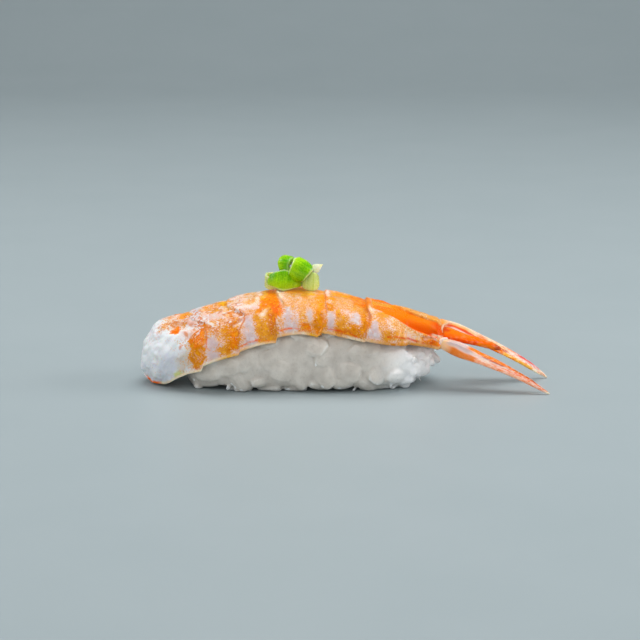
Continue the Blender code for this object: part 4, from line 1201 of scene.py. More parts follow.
@dataclass
class TailFan:
    """The tail fan: the telson and a pair of blades on either side of it."""

    plates: tuple[TailPlate, ...] = (
        TailPlate(
            "tail_telson", (20.3, -4.1, 12.3), (33.9, -3.1, 7.9), 2.2, 0.75, 1.15, (26.0, 16.0), 0.1, 0.12,
            Shade.ORANGE,
            (Stripe(0.0, 0.95, ((0.0, -0.7), (1.0, -0.6)), 0.25, Shade.FIRE),
             Stripe(0.0, 0.6, ((0.0, -0.95), (1.0, -0.9)), 0.14, Shade.RED),
             Stripe(0.05, 0.16, ((0.0, 0.1), (1.0, 0.1)), 0.35, Shade.RED, 0.9),
             Stripe(0.2, 1.0, ((0.0, 0.55), (1.0, 0.5)), 0.12, Shade.MAROON, 0.7),
             # Painted highlight: a lighter amber line along the midrib's upper flank.
             Stripe(0.1, 0.9, ((0.0, 0.15), (1.0, 0.1)), 0.1, Shade.AMBER, 0.8),
             Stripe(0.88, 1.1, ((0.0, 0.0), (1.0, 0.0)), 1.5, Shade.MAROON, 0.8)),
            specks=0.3,
        ),
        TailPlate(
            "tail_near_outer", (20.2, -7.5, 10.5), (43.8, -12.8, 0.15), 1.9, 0.42, 1.7, (42.0, 24.0), 0.8, 0.22,
            Shade.SHELL_PINK,
            (Stripe(0.0, 0.14, ((0.0, 0.0), (1.0, 0.0)), 1.5, Shade.PEACH, 0.8),
             Stripe(0.07, 0.28, ((0.0, 0.15), (0.3, 0.0)), 0.5, Shade.LILAC, 0.9),
             Stripe(0.1, 0.34, ((0.0, -0.8), (1.0, -0.8)), 0.3, Shade.ORANGE, 0.95),
             Stripe(0.34, 0.92, ((0.0, -0.9), (1.0, -0.85)), 0.24, Shade.ORANGE, 0.6),
             Stripe(0.45, 0.9, ((0.0, -0.45), (1.0, -0.45)), 0.1, Shade.FIRE, 0.6),
             Stripe(0.24, 0.9, ((0.0, 0.6), (1.0, 0.5)), 0.52, Shade.ORANGE),
             # The cream line along the upper edge is partly the blade's own pale rim and partly a painted highlight on
             # that edge.
             Stripe(0.1, 0.9, ((0.0, 1.0), (1.0, 1.0)), 0.1, Shade.CREAM, 0.9),
             Stripe(0.36, 0.7, ((0.0, -0.02), (1.0, -0.08)), 0.12, Shade.MAROON, 0.8),
             Stripe(0.62, 0.93, ((0.0, 0.1), (1.0, 0.0)), 0.25, Shade.FIRE, 0.8),
             Stripe(0.93, 1.1, ((0.0, 0.0), (1.0, 0.0)), 1.5, Shade.CREAM),
             Stripe(0.915, 0.935, ((0.0, 0.0), (1.0, 0.0)), 1.5, Shade.RED, 0.8),
             Stripe(0.95, 0.98, ((0.0, 0.5), (1.0, 0.5)), 0.3, Shade.ORANGE, 0.5)),
        ),
        TailPlate(
            "tail_near_inner", (26.4, -6.6, 8.5), (42.6, -10.6, 0.7), 1.1, 0.36, 0.5, (30.0, 20.0), 0.5, 0.34,
            Shade.ORANGE,
            (Stripe(0.0, 1.0, ((0.0, -0.3), (1.0, -0.3)), 0.14, Shade.MAROON, 0.7),
             Stripe(0.0, 1.0, ((0.0, 0.9), (1.0, 0.9)), 0.15, Shade.PEACH, 0.7),
             Stripe(0.9, 1.1, ((0.0, 0.0), (1.0, 0.0)), 1.5, Shade.CREAM)),
        ),
        TailPlate(
            "tail_far_outer", (20.2, -0.6, 13.7), (44.5, 2.8, 0.15), 2.0, 0.6, 1.0, (18.0, 18.0), 1.1, 0.3,
            Shade.SHELL_PINK,
            (Stripe(0.0, 0.07, ((0.0, 0.0), (1.0, 0.0)), 1.5, Shade.AMBER, 0.9),
             Stripe(0.07, 0.24, ((0.0, -0.4), (1.0, -0.4)), 0.25, Shade.AMBER, 0.8),
             Stripe(0.05, 0.62, ((0.0, 0.1), (1.0, 0.0)), 0.38, Shade.CREAM, 0.8),
             Stripe(0.22, 0.6, ((0.0, -0.42), (1.0, -0.42)), 0.2, Shade.PEACH, 0.9),
             Stripe(0.08, 0.6, ((0.0, -0.66), (1.0, -0.72)), 0.13, Shade.RED, 0.95),
             Stripe(0.34, 0.42, ((0.0, -0.3), (1.0, -0.3)), 0.25, Shade.FIRE, 0.7),
             Stripe(0.04, 0.6, ((0.0, 0.76), (1.0, 0.74)), 0.17, Shade.ORANGE, 0.85),
             Stripe(0.58, 0.74, ((0.0, 0.2), (1.0, 0.2)), 0.4, Shade.FIRE, 0.8),
             Stripe(0.7, 0.9, ((0.0, 0.0), (1.0, 0.0)), 0.4, Shade.MAGENTA, 0.95),
             Stripe(0.76, 0.9, ((0.0, -0.6), (1.0, -0.6)), 0.2, Shade.LILAC, 0.9),
             Stripe(0.9, 0.95, ((0.0, 0.0), (1.0, 0.0)), 1.5, Shade.PEACH, 0.7),
             Stripe(0.95, 1.1, ((0.0, 0.0), (1.0, 0.0)), 1.5, Shade.CREAM)),
        ),
        TailPlate(
            "tail_far_inner", (25.8, -0.6, 10.6), (42.8, 0.5, 1.4), 1.3, 0.4, 0.6, (14.0, 10.0), 0.6, 0.4,
            Shade.SHELL_PINK,
            (Stripe(0.0, 0.5, ((0.0, 0.0), (1.0, 0.0)), 1.5, Shade.ORANGE),
             Stripe(0.48, 0.54, ((0.0, 0.4), (1.0, 0.4)), 0.8, Shade.MAROON, 0.8),
             Stripe(0.7, 0.94, ((0.0, 0.8), (1.0, 0.8)), 0.25, Shade.MAGENTA, 0.8),
             Stripe(0.5, 0.9, ((0.0, -0.8), (1.0, -0.8)), 0.4, Shade.YELLOW, 0.9),
             Stripe(0.9, 1.1, ((0.0, 0.0), (1.0, 0.0)), 1.5, Shade.CREAM)),
        ),
    )
    folds: tuple[TailFold, ...] = (
        TailFold("tail_fold_loop", ((20.9, -6.2, 12.0), (20.7, -6.0, 12.8), (21.1, -5.0, 13.55), (22.2, -2.9, 13.6),
                                    (23.2, -1.2, 13.2)), 0.27, Shade.BLUSH),
        TailFold("tail_fold_knuckle", ((20.5, -7.6, 8.9), (20.1, -8.1, 9.6), (20.2, -8.2, 10.4), (20.9, -7.9, 11.1),
                                       (22.0, -7.4, 11.2)), 0.5, Shade.SHELL_PINK),
    )
    nodes: tuple[str, ...] = ("telson", "near_exopod", "near_endopod", "far_exopod", "far_endopod")

    def build(self, finish: "ShellFinish") -> list[bpy.types.Object]:
        """Builds every plate and sets it on its node.

        Args:
            finish: the shell's finish.

        Returns:
            The objects.
        """
        made = []
        for plate, node in zip(self.plates, self.nodes):
            blade = plate.build(finish)
            set_on_part(blade, "tail_shell", node)
            made.append(blade)
        for fold in self.folds:
            made.append(fold.build(finish))
            set_on_part(made[-1], "tail_shell")
        return made


@dataclass(frozen=True)
class ShellFinish:
    """Thin cooked shell: clear orange over paler flesh, glossy, with fine growth lines."""

    roughness: float = 0.24

    def material(self) -> bpy.types.Material:
        """The material."""
        graph = Graph("cooked_shell")
        colour = graph.attribute("shade", True)
        flecks = graph.noise(0.32, 2.0, graph.place((0.3, 1.0, 1.0), -0.43))
        clouds = graph.noise(1.4, 2.0)
        specks = graph.attribute("specks")
        colour = graph.mixed(colour, Shade.PEACH.value, 0.2 * (1 - clouds).eased(0.5, 0.75))
        colour = graph.mixed(colour, Shade.FIRE.value, 0.55 * flecks.eased(0.53, 0.63) * specks)
        colour = graph.mixed(colour, Shade.SHELL_PINK.value, 0.45 * (1 - flecks).eased(0.54, 0.64) * specks)
        dots = graph.cells(0.7).eased(0.12, 0.28)
        colour = graph.mixed(colour, Shade.RED.value, 0.5 * (1 - dots) * specks * clouds.eased(0.4, 0.6))
        return graph.dress(
            Base_Color=colour, Roughness=(self.roughness + 0.2 * (clouds - 0.5)).clamped(),
            Specular_IOR_Level=0.15, Coat_Weight=0.5 * graph.noise(0.8, 2.0).eased(0.5, 0.65), Coat_Roughness=0.1,
            Subsurface_Weight=0.25, Subsurface_Radius=(1.0, 0.35, 0.15), Subsurface_Scale=0.8 * MM,
            Normal=graph.bump(flecks, 0.12, 0.8),
        )


# ---- the rice -----------------------------------------------------------------------------------
@dataclass
class RiceBlock:
    """A pressed block of cooked rice: grains at true size, stuck together over a smaller core."""

    grain_length: float = 6.6
    grain_width: tuple[float, float] = (4.9, 3.1)
    grain_flat: tuple[float, float] = (0.36, 0.72)
    grain_gap: float = 2.6
    sunk: tuple[float, float] = (0.74, 0.86)
    around: int = 8
    along: int = 8
    seed: int = 7
    core_depth: float = 0.2
    core_foot: float = 1.3
    tail_room: float = 0.6
    tail_slope: float = 0.35
    flakes: tuple[int, int] = (130, 30)
    voxel: float = 0.25

    def loaf(self, direction: Array, grow: float = 0.0) -> Array:
        """The loaf's surface for directions from its middle: a superellipse along and across, flat below.

        Args:
            direction: unit vectors.
            grow: how far the surface stands outside the block's own.

        Returns:
            Places in millimetres.
        """
        dx, dy, dz = direction[..., 0], direction[..., 1], direction[..., 2]
        power = np.where(dx < 0, RICE_HEAD_POWER, RICE_TAIL_POWER)
        along = np.sign(dx) * np.abs(dx) ** (2 / power)
        scale = np.hypot(dy, dz) ** (2 / power)
        angle = np.arctan2(dz, dy)
        side = np.sign(np.cos(angle)) * np.abs(np.cos(angle)) ** (2 / RICE_SIDE_POWER)
        lift = np.abs(np.sin(angle)) ** (2 / RICE_SIDE_POWER)
        x = RICE_MIDDLE_X + (RICE_HALF_LENGTH + grow) * along
        reach = np.where(dz >= 0, line_value(RICE_RIDGE, x) + grow - RICE_WAIST, -(RICE_WAIST + RICE_UNDERCUT + grow))
        y = (RICE_HALF_WIDTH + grow) * scale * side
        z = RICE_WAIST + reach * scale * lift
        x = x - RICE_END_TUCK * np.maximum(0.0, along) ** 4 * np.maximum(0.0, 1 - z / RICE_WAIST)
        x = x - np.maximum(0.0, along) ** 6 * (self.tail_room + self.tail_slope * np.maximum(0.0, 7.0 - z))
        return np.stack([x, y, z], axis=-1)

    def scattered(self) -> tuple[Array, Array, Array, Array]:
        """Places for grains over the open sides, none nearer to another than the gap.

        Returns:
            Each grain's place on the block's surface and the outward direction there, then the same for
            every place that was tried.
        """
        draw = np.random.default_rng(self.seed)
        direction = draw.normal(size=(9000, 3)) * np.array([1.6, 1.0, 0.8])
        direction /= np.linalg.norm(direction, axis=1, keepdims=True)
        place = self.loaf(direction)
        tip = 0.02
        side = np.cross(direction, (0.0, 0.3, 1.0))
        side /= np.linalg.norm(side, axis=1, keepdims=True)
        rise = np.cross(side, direction)
        across = self.loaf(unit(direction + tip * side)) - place
        up = self.loaf(unit(direction + tip * rise)) - place
        normal = unit(np.cross(across, up))
        normal *= np.sign(np.einsum("ij,ij->i", normal, direction))[:, None]
        hem = line_value(HEM_LINE, place[:, 0])
        bare = (place[:, 2] > 0.1) & ((place[:, 2] < hem + 0.6) | (place[:, 0] > 16.0))
        closer = np.array([0.5, 1.0, 1.0])
        kept: list[int] = []
        for i in np.flatnonzero(bare):
            if not kept or (np.linalg.norm((place[kept] - place[i]) * closer, axis=1) > self.grain_gap).all():
                kept.append(int(i))
        return place[kept], normal[kept], place[bare], normal[bare]

    def grains(self) -> tuple[Array, Array]:
        """The grains that lie along the surface, and broken bits at the tail end and the foot.

        Returns:
            Their points and faces.
        """
        place, normal, spots, outwards = self.scattered()
        draw = np.random.default_rng(self.seed + 1)
        count = len(place)
        lengthways = np.array([1.0, 0.0, 0.0]) + draw.normal(size=(count, 3)) * np.array([0.3, 0.7, 0.6])
        lengthways -= np.einsum("ij,ij->i", lengthways, normal)[:, None] * normal
        lengthways = unit(unit(lengthways) + 0.22 * draw.normal(size=(count, 1)) * normal)
        edge = np.maximum(1 - ease(1.5, 5.0, place[:, 2:]), ease(10.0, 15.0, place[:, :1]))
        middle = place - normal * (blend(*self.sunk, edge) + draw.uniform(-0.25, 0.25, (count, 1)))
        half = 0.5 * self.grain_length * draw.uniform(0.8, 1.08, (count, 1, 1))
        plump = 0.5 * blend(*self.grain_width, edge)[..., None] * draw.uniform(0.85, 1.2, (count, 1, 1))
        whole = self.rods(middle, lengthways, normal, half, plump, blend(*self.grain_flat, edge)[..., None], 0.6)
        tail_end = np.flatnonzero((spots[:, 0] > 14.5) & (spots[:, 2] > 2.0))
        foot = np.flatnonzero(spots[:, 2] < 1.6)
        chosen = np.concatenate([draw.choice(tail_end, self.flakes[0]), draw.choice(foot, self.flakes[1])])
        count = len(chosen)
        out = outwards[chosen]
        start = spots[chosen] + out * draw.uniform(-0.2, 0.4, (count, 1))
        towards = unit(draw.normal(size=(count, 3)) + 0.6 * out)
        half = draw.uniform(0.7, 1.7, (count, 1, 1))
        plump = draw.uniform(0.4, 0.9, (count, 1, 1))
        bits = self.rods(start, towards, out, half, plump, 0.5, 1.3)
        return np.concatenate([whole[0], bits[0]]), np.concatenate([whole[1], bits[1] + len(whole[0])])

    def rods(
        self, middle: Array, lengthways: Array, normal: Array, half: Array, plump: Array, flat: float | Array,
        pointed: float,
    ) -> tuple[Array, Array]:
        """Rounded rods: spheres stretched along one way, flattened along another, squarer or more pointed.

        Args:
            middle: each rod's middle.
            lengthways: the way that it lies.
            normal: the way that it is flattened.
            half: half its length.
            plump: half its width.
            flat: its thickness as a share of its width.
            pointed: the power that draws in its ends, below 1 for blunt ones.

        Returns:
            The rods' points and faces.
        """
        sideways = unit(np.cross(normal, lengthways))
        outwards = np.cross(lengthways, sideways)
        turn = np.linspace(0, np.pi, self.along + 1)[1:-1]
        ring = np.linspace(0, 2 * np.pi, self.around, endpoint=False)
        u, v = np.meshgrid(turn, ring, indexing="ij")
        body = np.sin(u) ** pointed
        shape = np.stack([np.cos(u), body * np.cos(v), body * np.sin(v)], axis=-1).reshape(-1, 3)
        shape = np.concatenate([shape, [(1.0, 0.0, 0.0)], [(-1.0, 0.0, 0.0)]])
        along = shape[None, :, 0:1] * half
        across = shape[None, :, 1:2] * plump
        out = shape[None, :, 2:3] * plump * flat
        points = middle[:, None] + along * lengthways[:, None] + across * sideways[:, None] + out * outwards[:, None]
        rings, around = self.along - 1, self.around
        i = np.arange(around)
        j = (i + 1) % around
        quads = ring_faces(rings, around)
        top = np.stack([np.full(around, rings * around), j, i], axis=1)
        last = (rings - 1) * around
        bottom = np.stack([np.full(around, rings * around + 1), last + i, last + j], axis=1)
        step = np.arange(len(middle))[:, None, None] * len(shape)
        triangles = np.concatenate([quads[:, [0, 1, 2]], quads[:, [0, 2, 3]], top, bottom])
        return points.reshape(-1, 3), (triangles[None] + step).reshape(-1, 3)

    def core(self) -> tuple[Array, Array]:
        """The block's middle, a little inside its surface, as a skin over a sphere's directions."""
        turn = np.linspace(0, np.pi, 61)[1:-1]
        ring = np.linspace(0, 2 * np.pi, 72, endpoint=False)
        u, v = np.meshgrid(turn, ring, indexing="ij")
        direction = np.stack([np.cos(u), np.sin(u) * np.cos(v), np.sin(u) * np.sin(v)], axis=-1)
        rings = self.loaf(direction, -self.core_depth)
        poles = self.loaf(np.array([[1.0, 0.0, 0.0], [-1.0, 0.0, 0.0]]), -self.core_depth)
        points, faces = closed_skin(rings, poles[0], poles[1])
        points[:, 2] = np.maximum(points[:, 2], self.core_foot)
        triangles = np.concatenate([faces[0][:, [0, 1, 2]], faces[0][:, [0, 2, 3]], faces[1]])
        return points, triangles

    def build(self, finish: "RiceFinish") -> bpy.types.Object:
        """Builds core and grains, and fuses them where they touch.

        Args:
            finish: the rice's finish.

        Returns:
            The object.
        """
        grain_points, grain_faces = self.grains()
        core_points, core_faces = self.core()
        points = np.concatenate([core_points, grain_points])
        points[:, 2] = np.maximum(points[:, 2], 0.06)
        faces = np.concatenate([core_faces, grain_faces + len(core_points)])
        made = piece("rice_grains", points, [faces], {}, finish.material())
        fuse = made.modifiers.new("stuck_together", "REMESH")
        fuse.mode = "VOXEL"
        fuse.voxel_size = self.voxel * MM
        fuse.use_smooth_shade = True
        soften = made.modifiers.new("sticky", "SMOOTH")
        soften.factor = 0.5
        soften.iterations = 1
        apply_modifiers(made)
        keep_largest_part(made)
        return made


def unit(vectors: Array) -> Array:
    """The vectors at length 1."""
    return vectors / np.maximum(np.linalg.norm(vectors, axis=-1, keepdims=True), 1e-9)


def apply_modifiers(made: bpy.types.Object) -> None:
    """Replaces a piece's mesh by what its modifiers make of it, and drops them."""
    graph = bpy.context.evaluated_depsgraph_get()
    mesh = bpy.data.meshes.new_from_object(made.evaluated_get(graph))
    mesh.name = made.name
    made.modifiers.clear()
    made.data = mesh
    mesh.shade_smooth()


def keep_largest_part(made: bpy.types.Object) -> None:
    """Deletes the bits of a mesh that aren't joined to its largest part.

    Every point takes the lowest label among its neighbours until no label changes.

    Args:
        made: the object.
    """
    mesh = made.data
    ends = np.empty(2 * len(mesh.edges), np.int32)
    mesh.edges.foreach_get("vertices", ends)
    first, second = ends.reshape(-1, 2).T
    label, before = np.arange(len(mesh.vertices)), None
    while before is None or (label != before).any():
        before = label.copy()
        lower = np.minimum(label[first], label[second])
        np.minimum.at(label, first, lower)
        np.minimum.at(label, second, lower)
        label = label[label]
    loose = np.flatnonzero(label != np.bincount(label).argmax())
    skin = bmesh.new()
    skin.from_mesh(mesh)
    skin.verts.ensure_lookup_table()
    bmesh.ops.delete(skin, geom=[skin.verts[i] for i in loose], context="VERTS")
    skin.to_mesh(mesh)
    skin.free()


@dataclass(frozen=True)
class RiceFinish:
    """Cooked rice: half see-through white, moist, a little cloudier in each grain's middle, with painted highlights on
    its sharp edges and painted light whitening it towards the tail end.
    """

    roughness: float = 0.3

    def material(self) -> bpy.types.Material:
        """The material."""
        graph = Graph("cooked_rice")
        clouds = graph.noise(3.0, 2.0).eased(0.3, 0.7)
        fine = graph.noise(0.5, 2.0)
        colour = graph.mixed(tint("cac3ba"), tint("dad4cb"), clouds)
        # Painted highlight: sharp convex edges, found by the mesh's pointiness, are mixed towards white.
        shape = graph.node("ShaderNodeNewGeometry")
        edge = Field(graph, shape.outputs["Pointiness"])
        colour = graph.mixed(colour, tint("f6f8f8"), 0.8 * edge.eased(0.51, 0.57))
        # Painted light: the rice is mixed towards white along X towards its tail end, standing in for the light that
        # falls on that end.
        along = graph.node("ShaderNodeSeparateXYZ", None, {"Vector": graph.place()})
        painted_light_towards_tail = Field(graph, along.outputs["X"]).eased(4.0, 15.0)
        colour = graph.mixed(colour, tint("fbfbfa"), painted_light_towards_tail)
        sparkle = graph.noise(0.6, 1.0).eased(0.55, 0.7)
        return graph.dress(
            Base_Color=colour, Roughness=(self.roughness + 0.2 * (fine - 0.5)).clamped(),
            Coat_Weight=(0.2 + 0.8 * sparkle).clamped(), Coat_Roughness=0.05,
            Subsurface_Weight=0.9, Subsurface_Radius=(1.0, 0.97, 0.92), Subsurface_Scale=2.2 * MM,
            Normal=graph.bump(0.6 * fine + 0.4 * graph.noise(1.2, 2.0), 0.16, 0.6),
        )


# ---- the spring onion ---------------------------------------------------------------------------
@dataclass
class OnionSlice:
    """A C-shaped slice cut from the layers of a spring onion, as its wall carried round an arc."""

    name: str
    node: str
    centre: tuple[float, float, float]
    radius: float
    wall: float
    height: float
    arc: float
    turn: tuple[float, float, float]
    green: float
    seed: int = 1
    taper: tuple[float, float] = (0.15, 0.15)
    bulge: float = 0.1
    cone: float = 0.035
    # How strong the painted highlight along the slice's cut rims is.
    rim: float = 1.0
    steps: int = 72
    around: int = 44

    def skin(self) -> tuple[Array, Array, Array, Array]:
        """Rings of the wall: a rounded oblong, wall by height, at each angle of the arc, closed at both ends.

        Returns:
            The rings, each point's place through the wall and up it, from -1 to 1, and its angle.
        """
        lean = np.linspace(0, 2 * np.pi, self.around, endpoint=False)[None, :]
        through = np.sign(np.cos(lean)) * np.abs(np.cos(lean)) ** 0.55
        upward = np.sign(np.sin(lean)) * np.abs(np.sin(lean)) ** 0.32
        reach = np.radians(self.arc) / 2
        t = np.sin(np.linspace(-1, 1, self.steps) * (np.pi / 2 - 0.03))[:, None]
        angle = 0.55 * reach * t + 0.45 * reach * np.linspace(-1, 1, self.steps)[:, None]
        from_end = (reach - np.abs(angle)) * self.radius
        full = superellipse(np.clip(1 - from_end / 0.35, 0, 1), 2.2)
        full = np.maximum(full, 0.02)
        flat = np.stack([angle * self.radius + 0 * lean, 0 * angle + upward * self.height / 2, 0 * angle + 0 * lean],
                        axis=-1)
        veins = lumps(flat * np.array([1.0, 0.08, 1.0]), 0.42, self.seed + 3, 2)
        sway = 0.16 * lumps(flat * np.array([1.0, 0.3, 0.0]) + self.seed, 2.2, self.seed)
        barrel = 1 - self.cone * upward - self.bulge * upward ** 2
        radius = self.radius * barrel + sway + through * self.wall / 2 * full
        radius = radius + (0.02 * veins + 0.07 * lumps(flat, 0.9, self.seed + 5, 2)) * np.clip(through * 2, 0, 1)
        share = angle / reach
        lowered = 1 - np.where(share < 0, self.taper[0], self.taper[1]) * np.abs(share) ** 1.3
        wavy = 1 + 0.09 * lumps(flat * np.array([1.0, 0.0, 0.0]), 1.3, self.seed + 9, 2)
        height = upward * (self.height / 2) * (0.35 + 0.65 * full) * lowered * wavy
        rings = np.stack([radius * np.cos(angle), radius * np.sin(angle), height + 0 * angle], axis=-1)
        return rings, through + 0 * angle, upward + 0 * angle, angle + 0 * lean

    def build(self, finish: "OnionFinish") -> bpy.types.Object:
        """Builds the slice, turned and set in its place in the mesh.

        Args:
            finish: the onion's finish.

        Returns:
            The object.
        """
        rings, through, upward, angle = self.skin()
        turn = np.array(Euler([math.radians(a) for a in self.turn]).to_matrix())
        rings = rings @ turn.T + np.array(self.centre)
        points, faces = closed_skin(rings, rings[0].mean(axis=0), rings[-1].mean(axis=0))
        inner = ease(-0.2, 0.9, -through)
        cut = ease(0.9, 0.995, np.abs(upward))
        values = {
            "inner": inner, "cut": cut, "green": np.full(inner.shape, self.green), "around": angle * self.radius,
            "up": upward,
            # rim: a painted highlight along the slice's upper and lower rims.
            "rim": self.rim * ease(0.8, 0.95, np.abs(upward)) * (1 - 0.6 * ease(0.985, 0.9999, np.abs(upward))),
        }
        spread = {}
        for key, value in values.items():
            flat = value.reshape(-1)
            spread[key] = np.concatenate([flat, flat[:1], flat[-1:]])
        return piece(self.name, points, faces, spread, finish.material())


@dataclass(frozen=True)
class OnionFinish:
    """Spring onion: fine veins over fresh green outside, paler at the cut; painted shade inside the green slices and
    towards their tops, painted highlights on the rims, and painted yellow reflection low down.
    """

    roughness: float = 0.28

    def material(self) -> bpy.types.Material:
        """The material."""
        graph = Graph("spring_onion")
        inner, cut, green = graph.attribute("inner"), graph.attribute("cut"), graph.attribute("green")
        around = graph.attribute("around")
        lines = graph.node("ShaderNodeTexNoise", {"noise_dimensions": "1D"}, {"W": around, "Scale": 2.6, "Detail": 2.0})
        veins = Field(graph, lines.outputs["Fac"]).eased(0.25, 0.75)
        clouds = graph.noise(1.8, 2.0).eased(0.25, 0.75)
        grain = graph.noise(0.3, 2.0)
        # Partly painted shade: the skin is made darker towards each slice's top and lighter towards its foot; the rest
        # is veins, clouds and grain.
        lighter = 0.26 * veins + 0.3 * clouds + 0.44 * grain - 0.2 * graph.attribute("up")
        skin = graph.mixed(tint("5cac00"), tint("b0e00c"), lighter.eased(0.1, 0.9))
        # Painted reflection: the parts of each slice low down, near the orange shrimp, are mixed towards yellow-olive
        # as if lit by light thrown back from it.
        height = graph.node("ShaderNodeSeparateXYZ", None, {"Vector": graph.place()})
        skin = graph.mixed(skin, tint("c0b800"), 0.4 * (1 - Field(graph, height.outputs["Z"]).eased(21.2, 23.4)))
        pale = graph.mixed(tint("ccd650"), tint("f0f4bc"), 0.5 * grain + 0.5 * veins)
        outside = graph.mixed(pale, skin, green)
        outside = graph.mixed(outside, tint("f4f6e4"), (0.0 - green).clamped())
        # Painted shade: on the green slices the inside of the ring is dark green, standing in for the shade inside it;
        # the pale slices keep a pale lining.
        lining = graph.mixed(tint("dce878"), tint("3c8800"), green)
        colour = graph.mixed(outside, lining, inner)
        colour = graph.mixed(colour, tint("98d028"), 0.7 * cut * green.clamped())
        # Painted highlight along the cut rims.
        colour = graph.mixed(colour, tint("e8f4b8"), 0.6 * graph.attribute("rim"))
        drops = graph.noise(0.5, 2.0).eased(0.54, 0.62)
        return graph.dress(
            Base_Color=colour, Roughness=(self.roughness + 0.12 * (grain - 0.5)).clamped(),
            Specular_IOR_Level=0.2, Coat_Weight=(0.05 + 0.8 * drops).clamped(), Coat_Roughness=0.06,
            Subsurface_Weight=0.6, Subsurface_Radius=(0.7, 1.0, 0.1), Subsurface_Scale=1.4 * MM,
            Normal=graph.bump(0.3 * veins + 0.7 * grain, 0.12, 0.7),
        )


@dataclass
class OnionHeap:
    """The few slices of spring onion on the shrimp's back."""

    slices: tuple[OnionSlice, ...] = (
        OnionSlice("onion_slice_front", "onion_front", (-13.3, 1.4, 22.0), 3.5, 0.9, 4.7, 200, (-4, -16, -94), 1.0, 1,
                   (0.8, 0.9), 0.06),
        OnionSlice("onion_slice_left", "onion_left", (-14.8, 1.8, 22.1), 2.7, 0.5, 3.0, 200, (-6, 0, 177), 0.2, 2,
                   (0.3, 0.3), 0.02),
        OnionSlice("onion_slice_right", "onion_right", (-7.7, 0.6, 22.5), 1.55, 0.8, 3.9, 190, (-4, 4, -64), 0.3, 3,
                   (0.3, 0.5), 0.06, 0.13, 0.5),
        OnionSlice("onion_slice_upper", "onion_upper", (-9.9, -0.4, 24.8), 2.2, 1.1, 4.9, 240, (-131, -40, -69), 1.0,
                   4, (0.3, 0.3), 0.16),
        OnionSlice("onion_slice_knot", "onion_knot", (-12.7, 0.7, 25.9), 1.4, 1.4, 2.7, 330, (-87, -30, -128), 1.0, 5,
                   (0.1, 0.1), 0.16, 0.035, 0.4),
        OnionSlice("onion_slice_sliver", "onion_sliver", (-6.25, 1.8, 24.8), 1.95, 0.45, 1.9, 104, (32, -15, -93), -0.6, 6,
                   (0.1, 1.0)),
    )

    def build(self, finish: "OnionFinish") -> list[bpy.types.Object]:
        """Builds every slice and sets it on its node.

        Args:
            finish: the onion's finish.

        Returns:
            The objects.
        """
        made = []
        for cut in self.slices:
            ring = cut.build(finish)
            set_on_part(ring, "onion_green" if cut.green > 0.5 else "onion_pale", cut.node)
            made.append(ring)
        return made


# ---- the studio ---------------------------------------------------------------------------------
class Shines(Enum):
    """What a light does."""

    BOTH = "both"
    LIGHT = "light"
    HIGHLIGHT = "highlight"


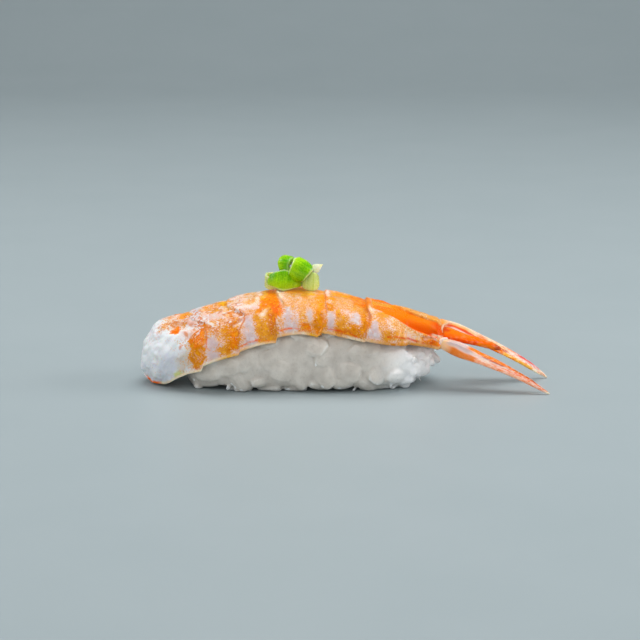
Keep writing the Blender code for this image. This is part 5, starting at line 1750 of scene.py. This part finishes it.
@dataclass
class Studio:
    """A plain pale floor and backdrop, soft lights and the camera."""

    lens: float = 154.0
    distance: float = 0.598
    elevation: float = 12.0
    target: tuple[float, float, float] = (-0.00557, 0.0, 0.0137)

    def floor(self) -> bpy.types.Object:
        """A floor that turns up into a backdrop: a flat run, a quarter circle, and a wall."""
        run = np.array([-1.6, -0.4, 0.0, 0.25, 0.5])
        turn = np.linspace(0, np.pi / 2, 14)[1:]
        depth = np.concatenate([run, 0.5 + 0.35 * np.sin(turn), [0.85]])
        height = np.concatenate([0 * run, 0.35 * (1 - np.cos(turn)), [2.0]])
        sides = np.array([-2.0, 2.0])
        grid = np.stack([
            np.broadcast_to(sides[:, None], (2, len(depth))), np.broadcast_to(depth, (2, len(depth))),
            np.broadcast_to(height, (2, len(depth))),
        ], axis=-1)
        count = len(depth)
        i = np.arange(count - 1)
        faces = np.stack([i, i + count, i + count + 1, i + 1], axis=1)
        mesh = bpy.data.meshes.new("floor")
        mesh.from_pydata(grid.reshape(-1, 3).tolist(), [], faces.tolist())
        mesh.shade_smooth()
        graph = Graph("pale_floor")
        mottled = graph.noise(30.0, 3.0)
        colour = graph.mixed(tint("9da9ac"), tint("a3aeb1"), mottled)
        mesh.materials.append(graph.dress(Base_Color=colour, Roughness=0.5))
        made = bpy.data.objects.new("floor", mesh)
        bpy.context.scene.collection.objects.link(made)
        return made

    def light(
        self, name: str, place: tuple[float, float, float], size: float, power: float, shines: "Shines",
    ) -> None:
        """A square soft white light that looks at the food.

        Args:
            name: what it is called.
            place: where it stands, in metres.
            size: its side, in metres.
            power: its power, in watts.
            shines: whether it lights surfaces, shows in them as a highlight, or both.
        """
        lamp = bpy.data.lights.new(name, "AREA")
        lamp.shape = "SQUARE"
        lamp.size = size
        lamp.energy = power
        made = bpy.data.objects.new(name, lamp)
        away = np.array(place) - np.array((0.0, 0.0, 0.01))
        made.location = place
        made.rotation_euler = direction_euler(away)
        made.visible_diffuse = shines is not Shines.HIGHLIGHT
        made.visible_glossy = shines is not Shines.LIGHT
        bpy.context.scene.collection.objects.link(made)

    def camera(self) -> bpy.types.Object:
        """The camera, looking along +Y and a little down."""
        lens = bpy.data.cameras.new("camera")
        lens.lens = self.lens
        lens.sensor_width = 36.0
        lens.clip_start = 0.01
        made = bpy.data.objects.new("camera", lens)
        tilt = math.radians(self.elevation)
        x, y, z = self.target
        made.location = (x, y - self.distance * math.cos(tilt), z + self.distance * math.sin(tilt))
        made.rotation_euler = (math.pi / 2 - tilt, 0.0, 0.0)
        bpy.context.scene.collection.objects.link(made)
        bpy.context.scene.camera = made
        return made

    def build(self) -> None:
        """Sets up floor, lights, sky and camera."""
        self.camera()
        self.floor()
        self.light("key", (0.05, 0.12, 0.6), 0.5, 3.0, Shines.LIGHT)
        self.light("fill", (-0.15, -0.85, 0.45), 0.8, 4.5, Shines.LIGHT)
        self.light("side", (0.6, 0.0, 0.26), 0.3, 1.8, Shines.BOTH)
        self.light("rim", (-0.42, 0.15, 0.3), 0.3, 0.6, Shines.BOTH)
        self.light("sparkle", (-0.1, -0.1, 0.6), 0.12, 0.5, Shines.HIGHLIGHT)
        world = bpy.data.worlds.new("sky")
        world.use_nodes = True
        background = world.node_tree.nodes["Background"]
        background.inputs["Color"].default_value = (0.82, 0.86, 0.9, 1.0)
        background.inputs["Strength"].default_value = 0.28
        scene = bpy.context.scene
        scene.world = world
        scene.view_settings.view_transform = "Standard"


def direction_euler(away: Array) -> tuple[float, float, float]:
    """The turn that points a light's -Z from a place back to where it came from."""
    flat = math.hypot(away[0], away[1])
    return (math.atan2(flat, away[2]), 0.0, math.atan2(away[0], -away[1]))


def set_on_part(made: bpy.types.Object, slot: str, *nodes: str) -> None:
    """Makes a piece ride on the part and stand for its nodes, whose own meshes it hides."""
    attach(made, "root")
    if nodes:
        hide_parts(*nodes)


def report(made: bpy.types.Object) -> None:
    """Logs a piece's name and its number of faces."""
    LOG.info("%s: %d faces", made.name, len(made.data.polygons))


def main() -> None:
    """Builds the studio and every piece."""
    Studio().build()
    body = ShrimpFlesh().build(FleshFinish())
    set_on_part(body, "shrimp_flesh", "shrimp_flesh")
    report(body)
    rice = RiceBlock().build(RiceFinish())
    set_on_part(rice, "rice", "rice")
    report(rice)
    for blade in TailFan().build(ShellFinish()):
        report(blade)
    for ring in OnionHeap().build(OnionFinish()):
        report(ring)


if __name__ == "__main__":
    main()
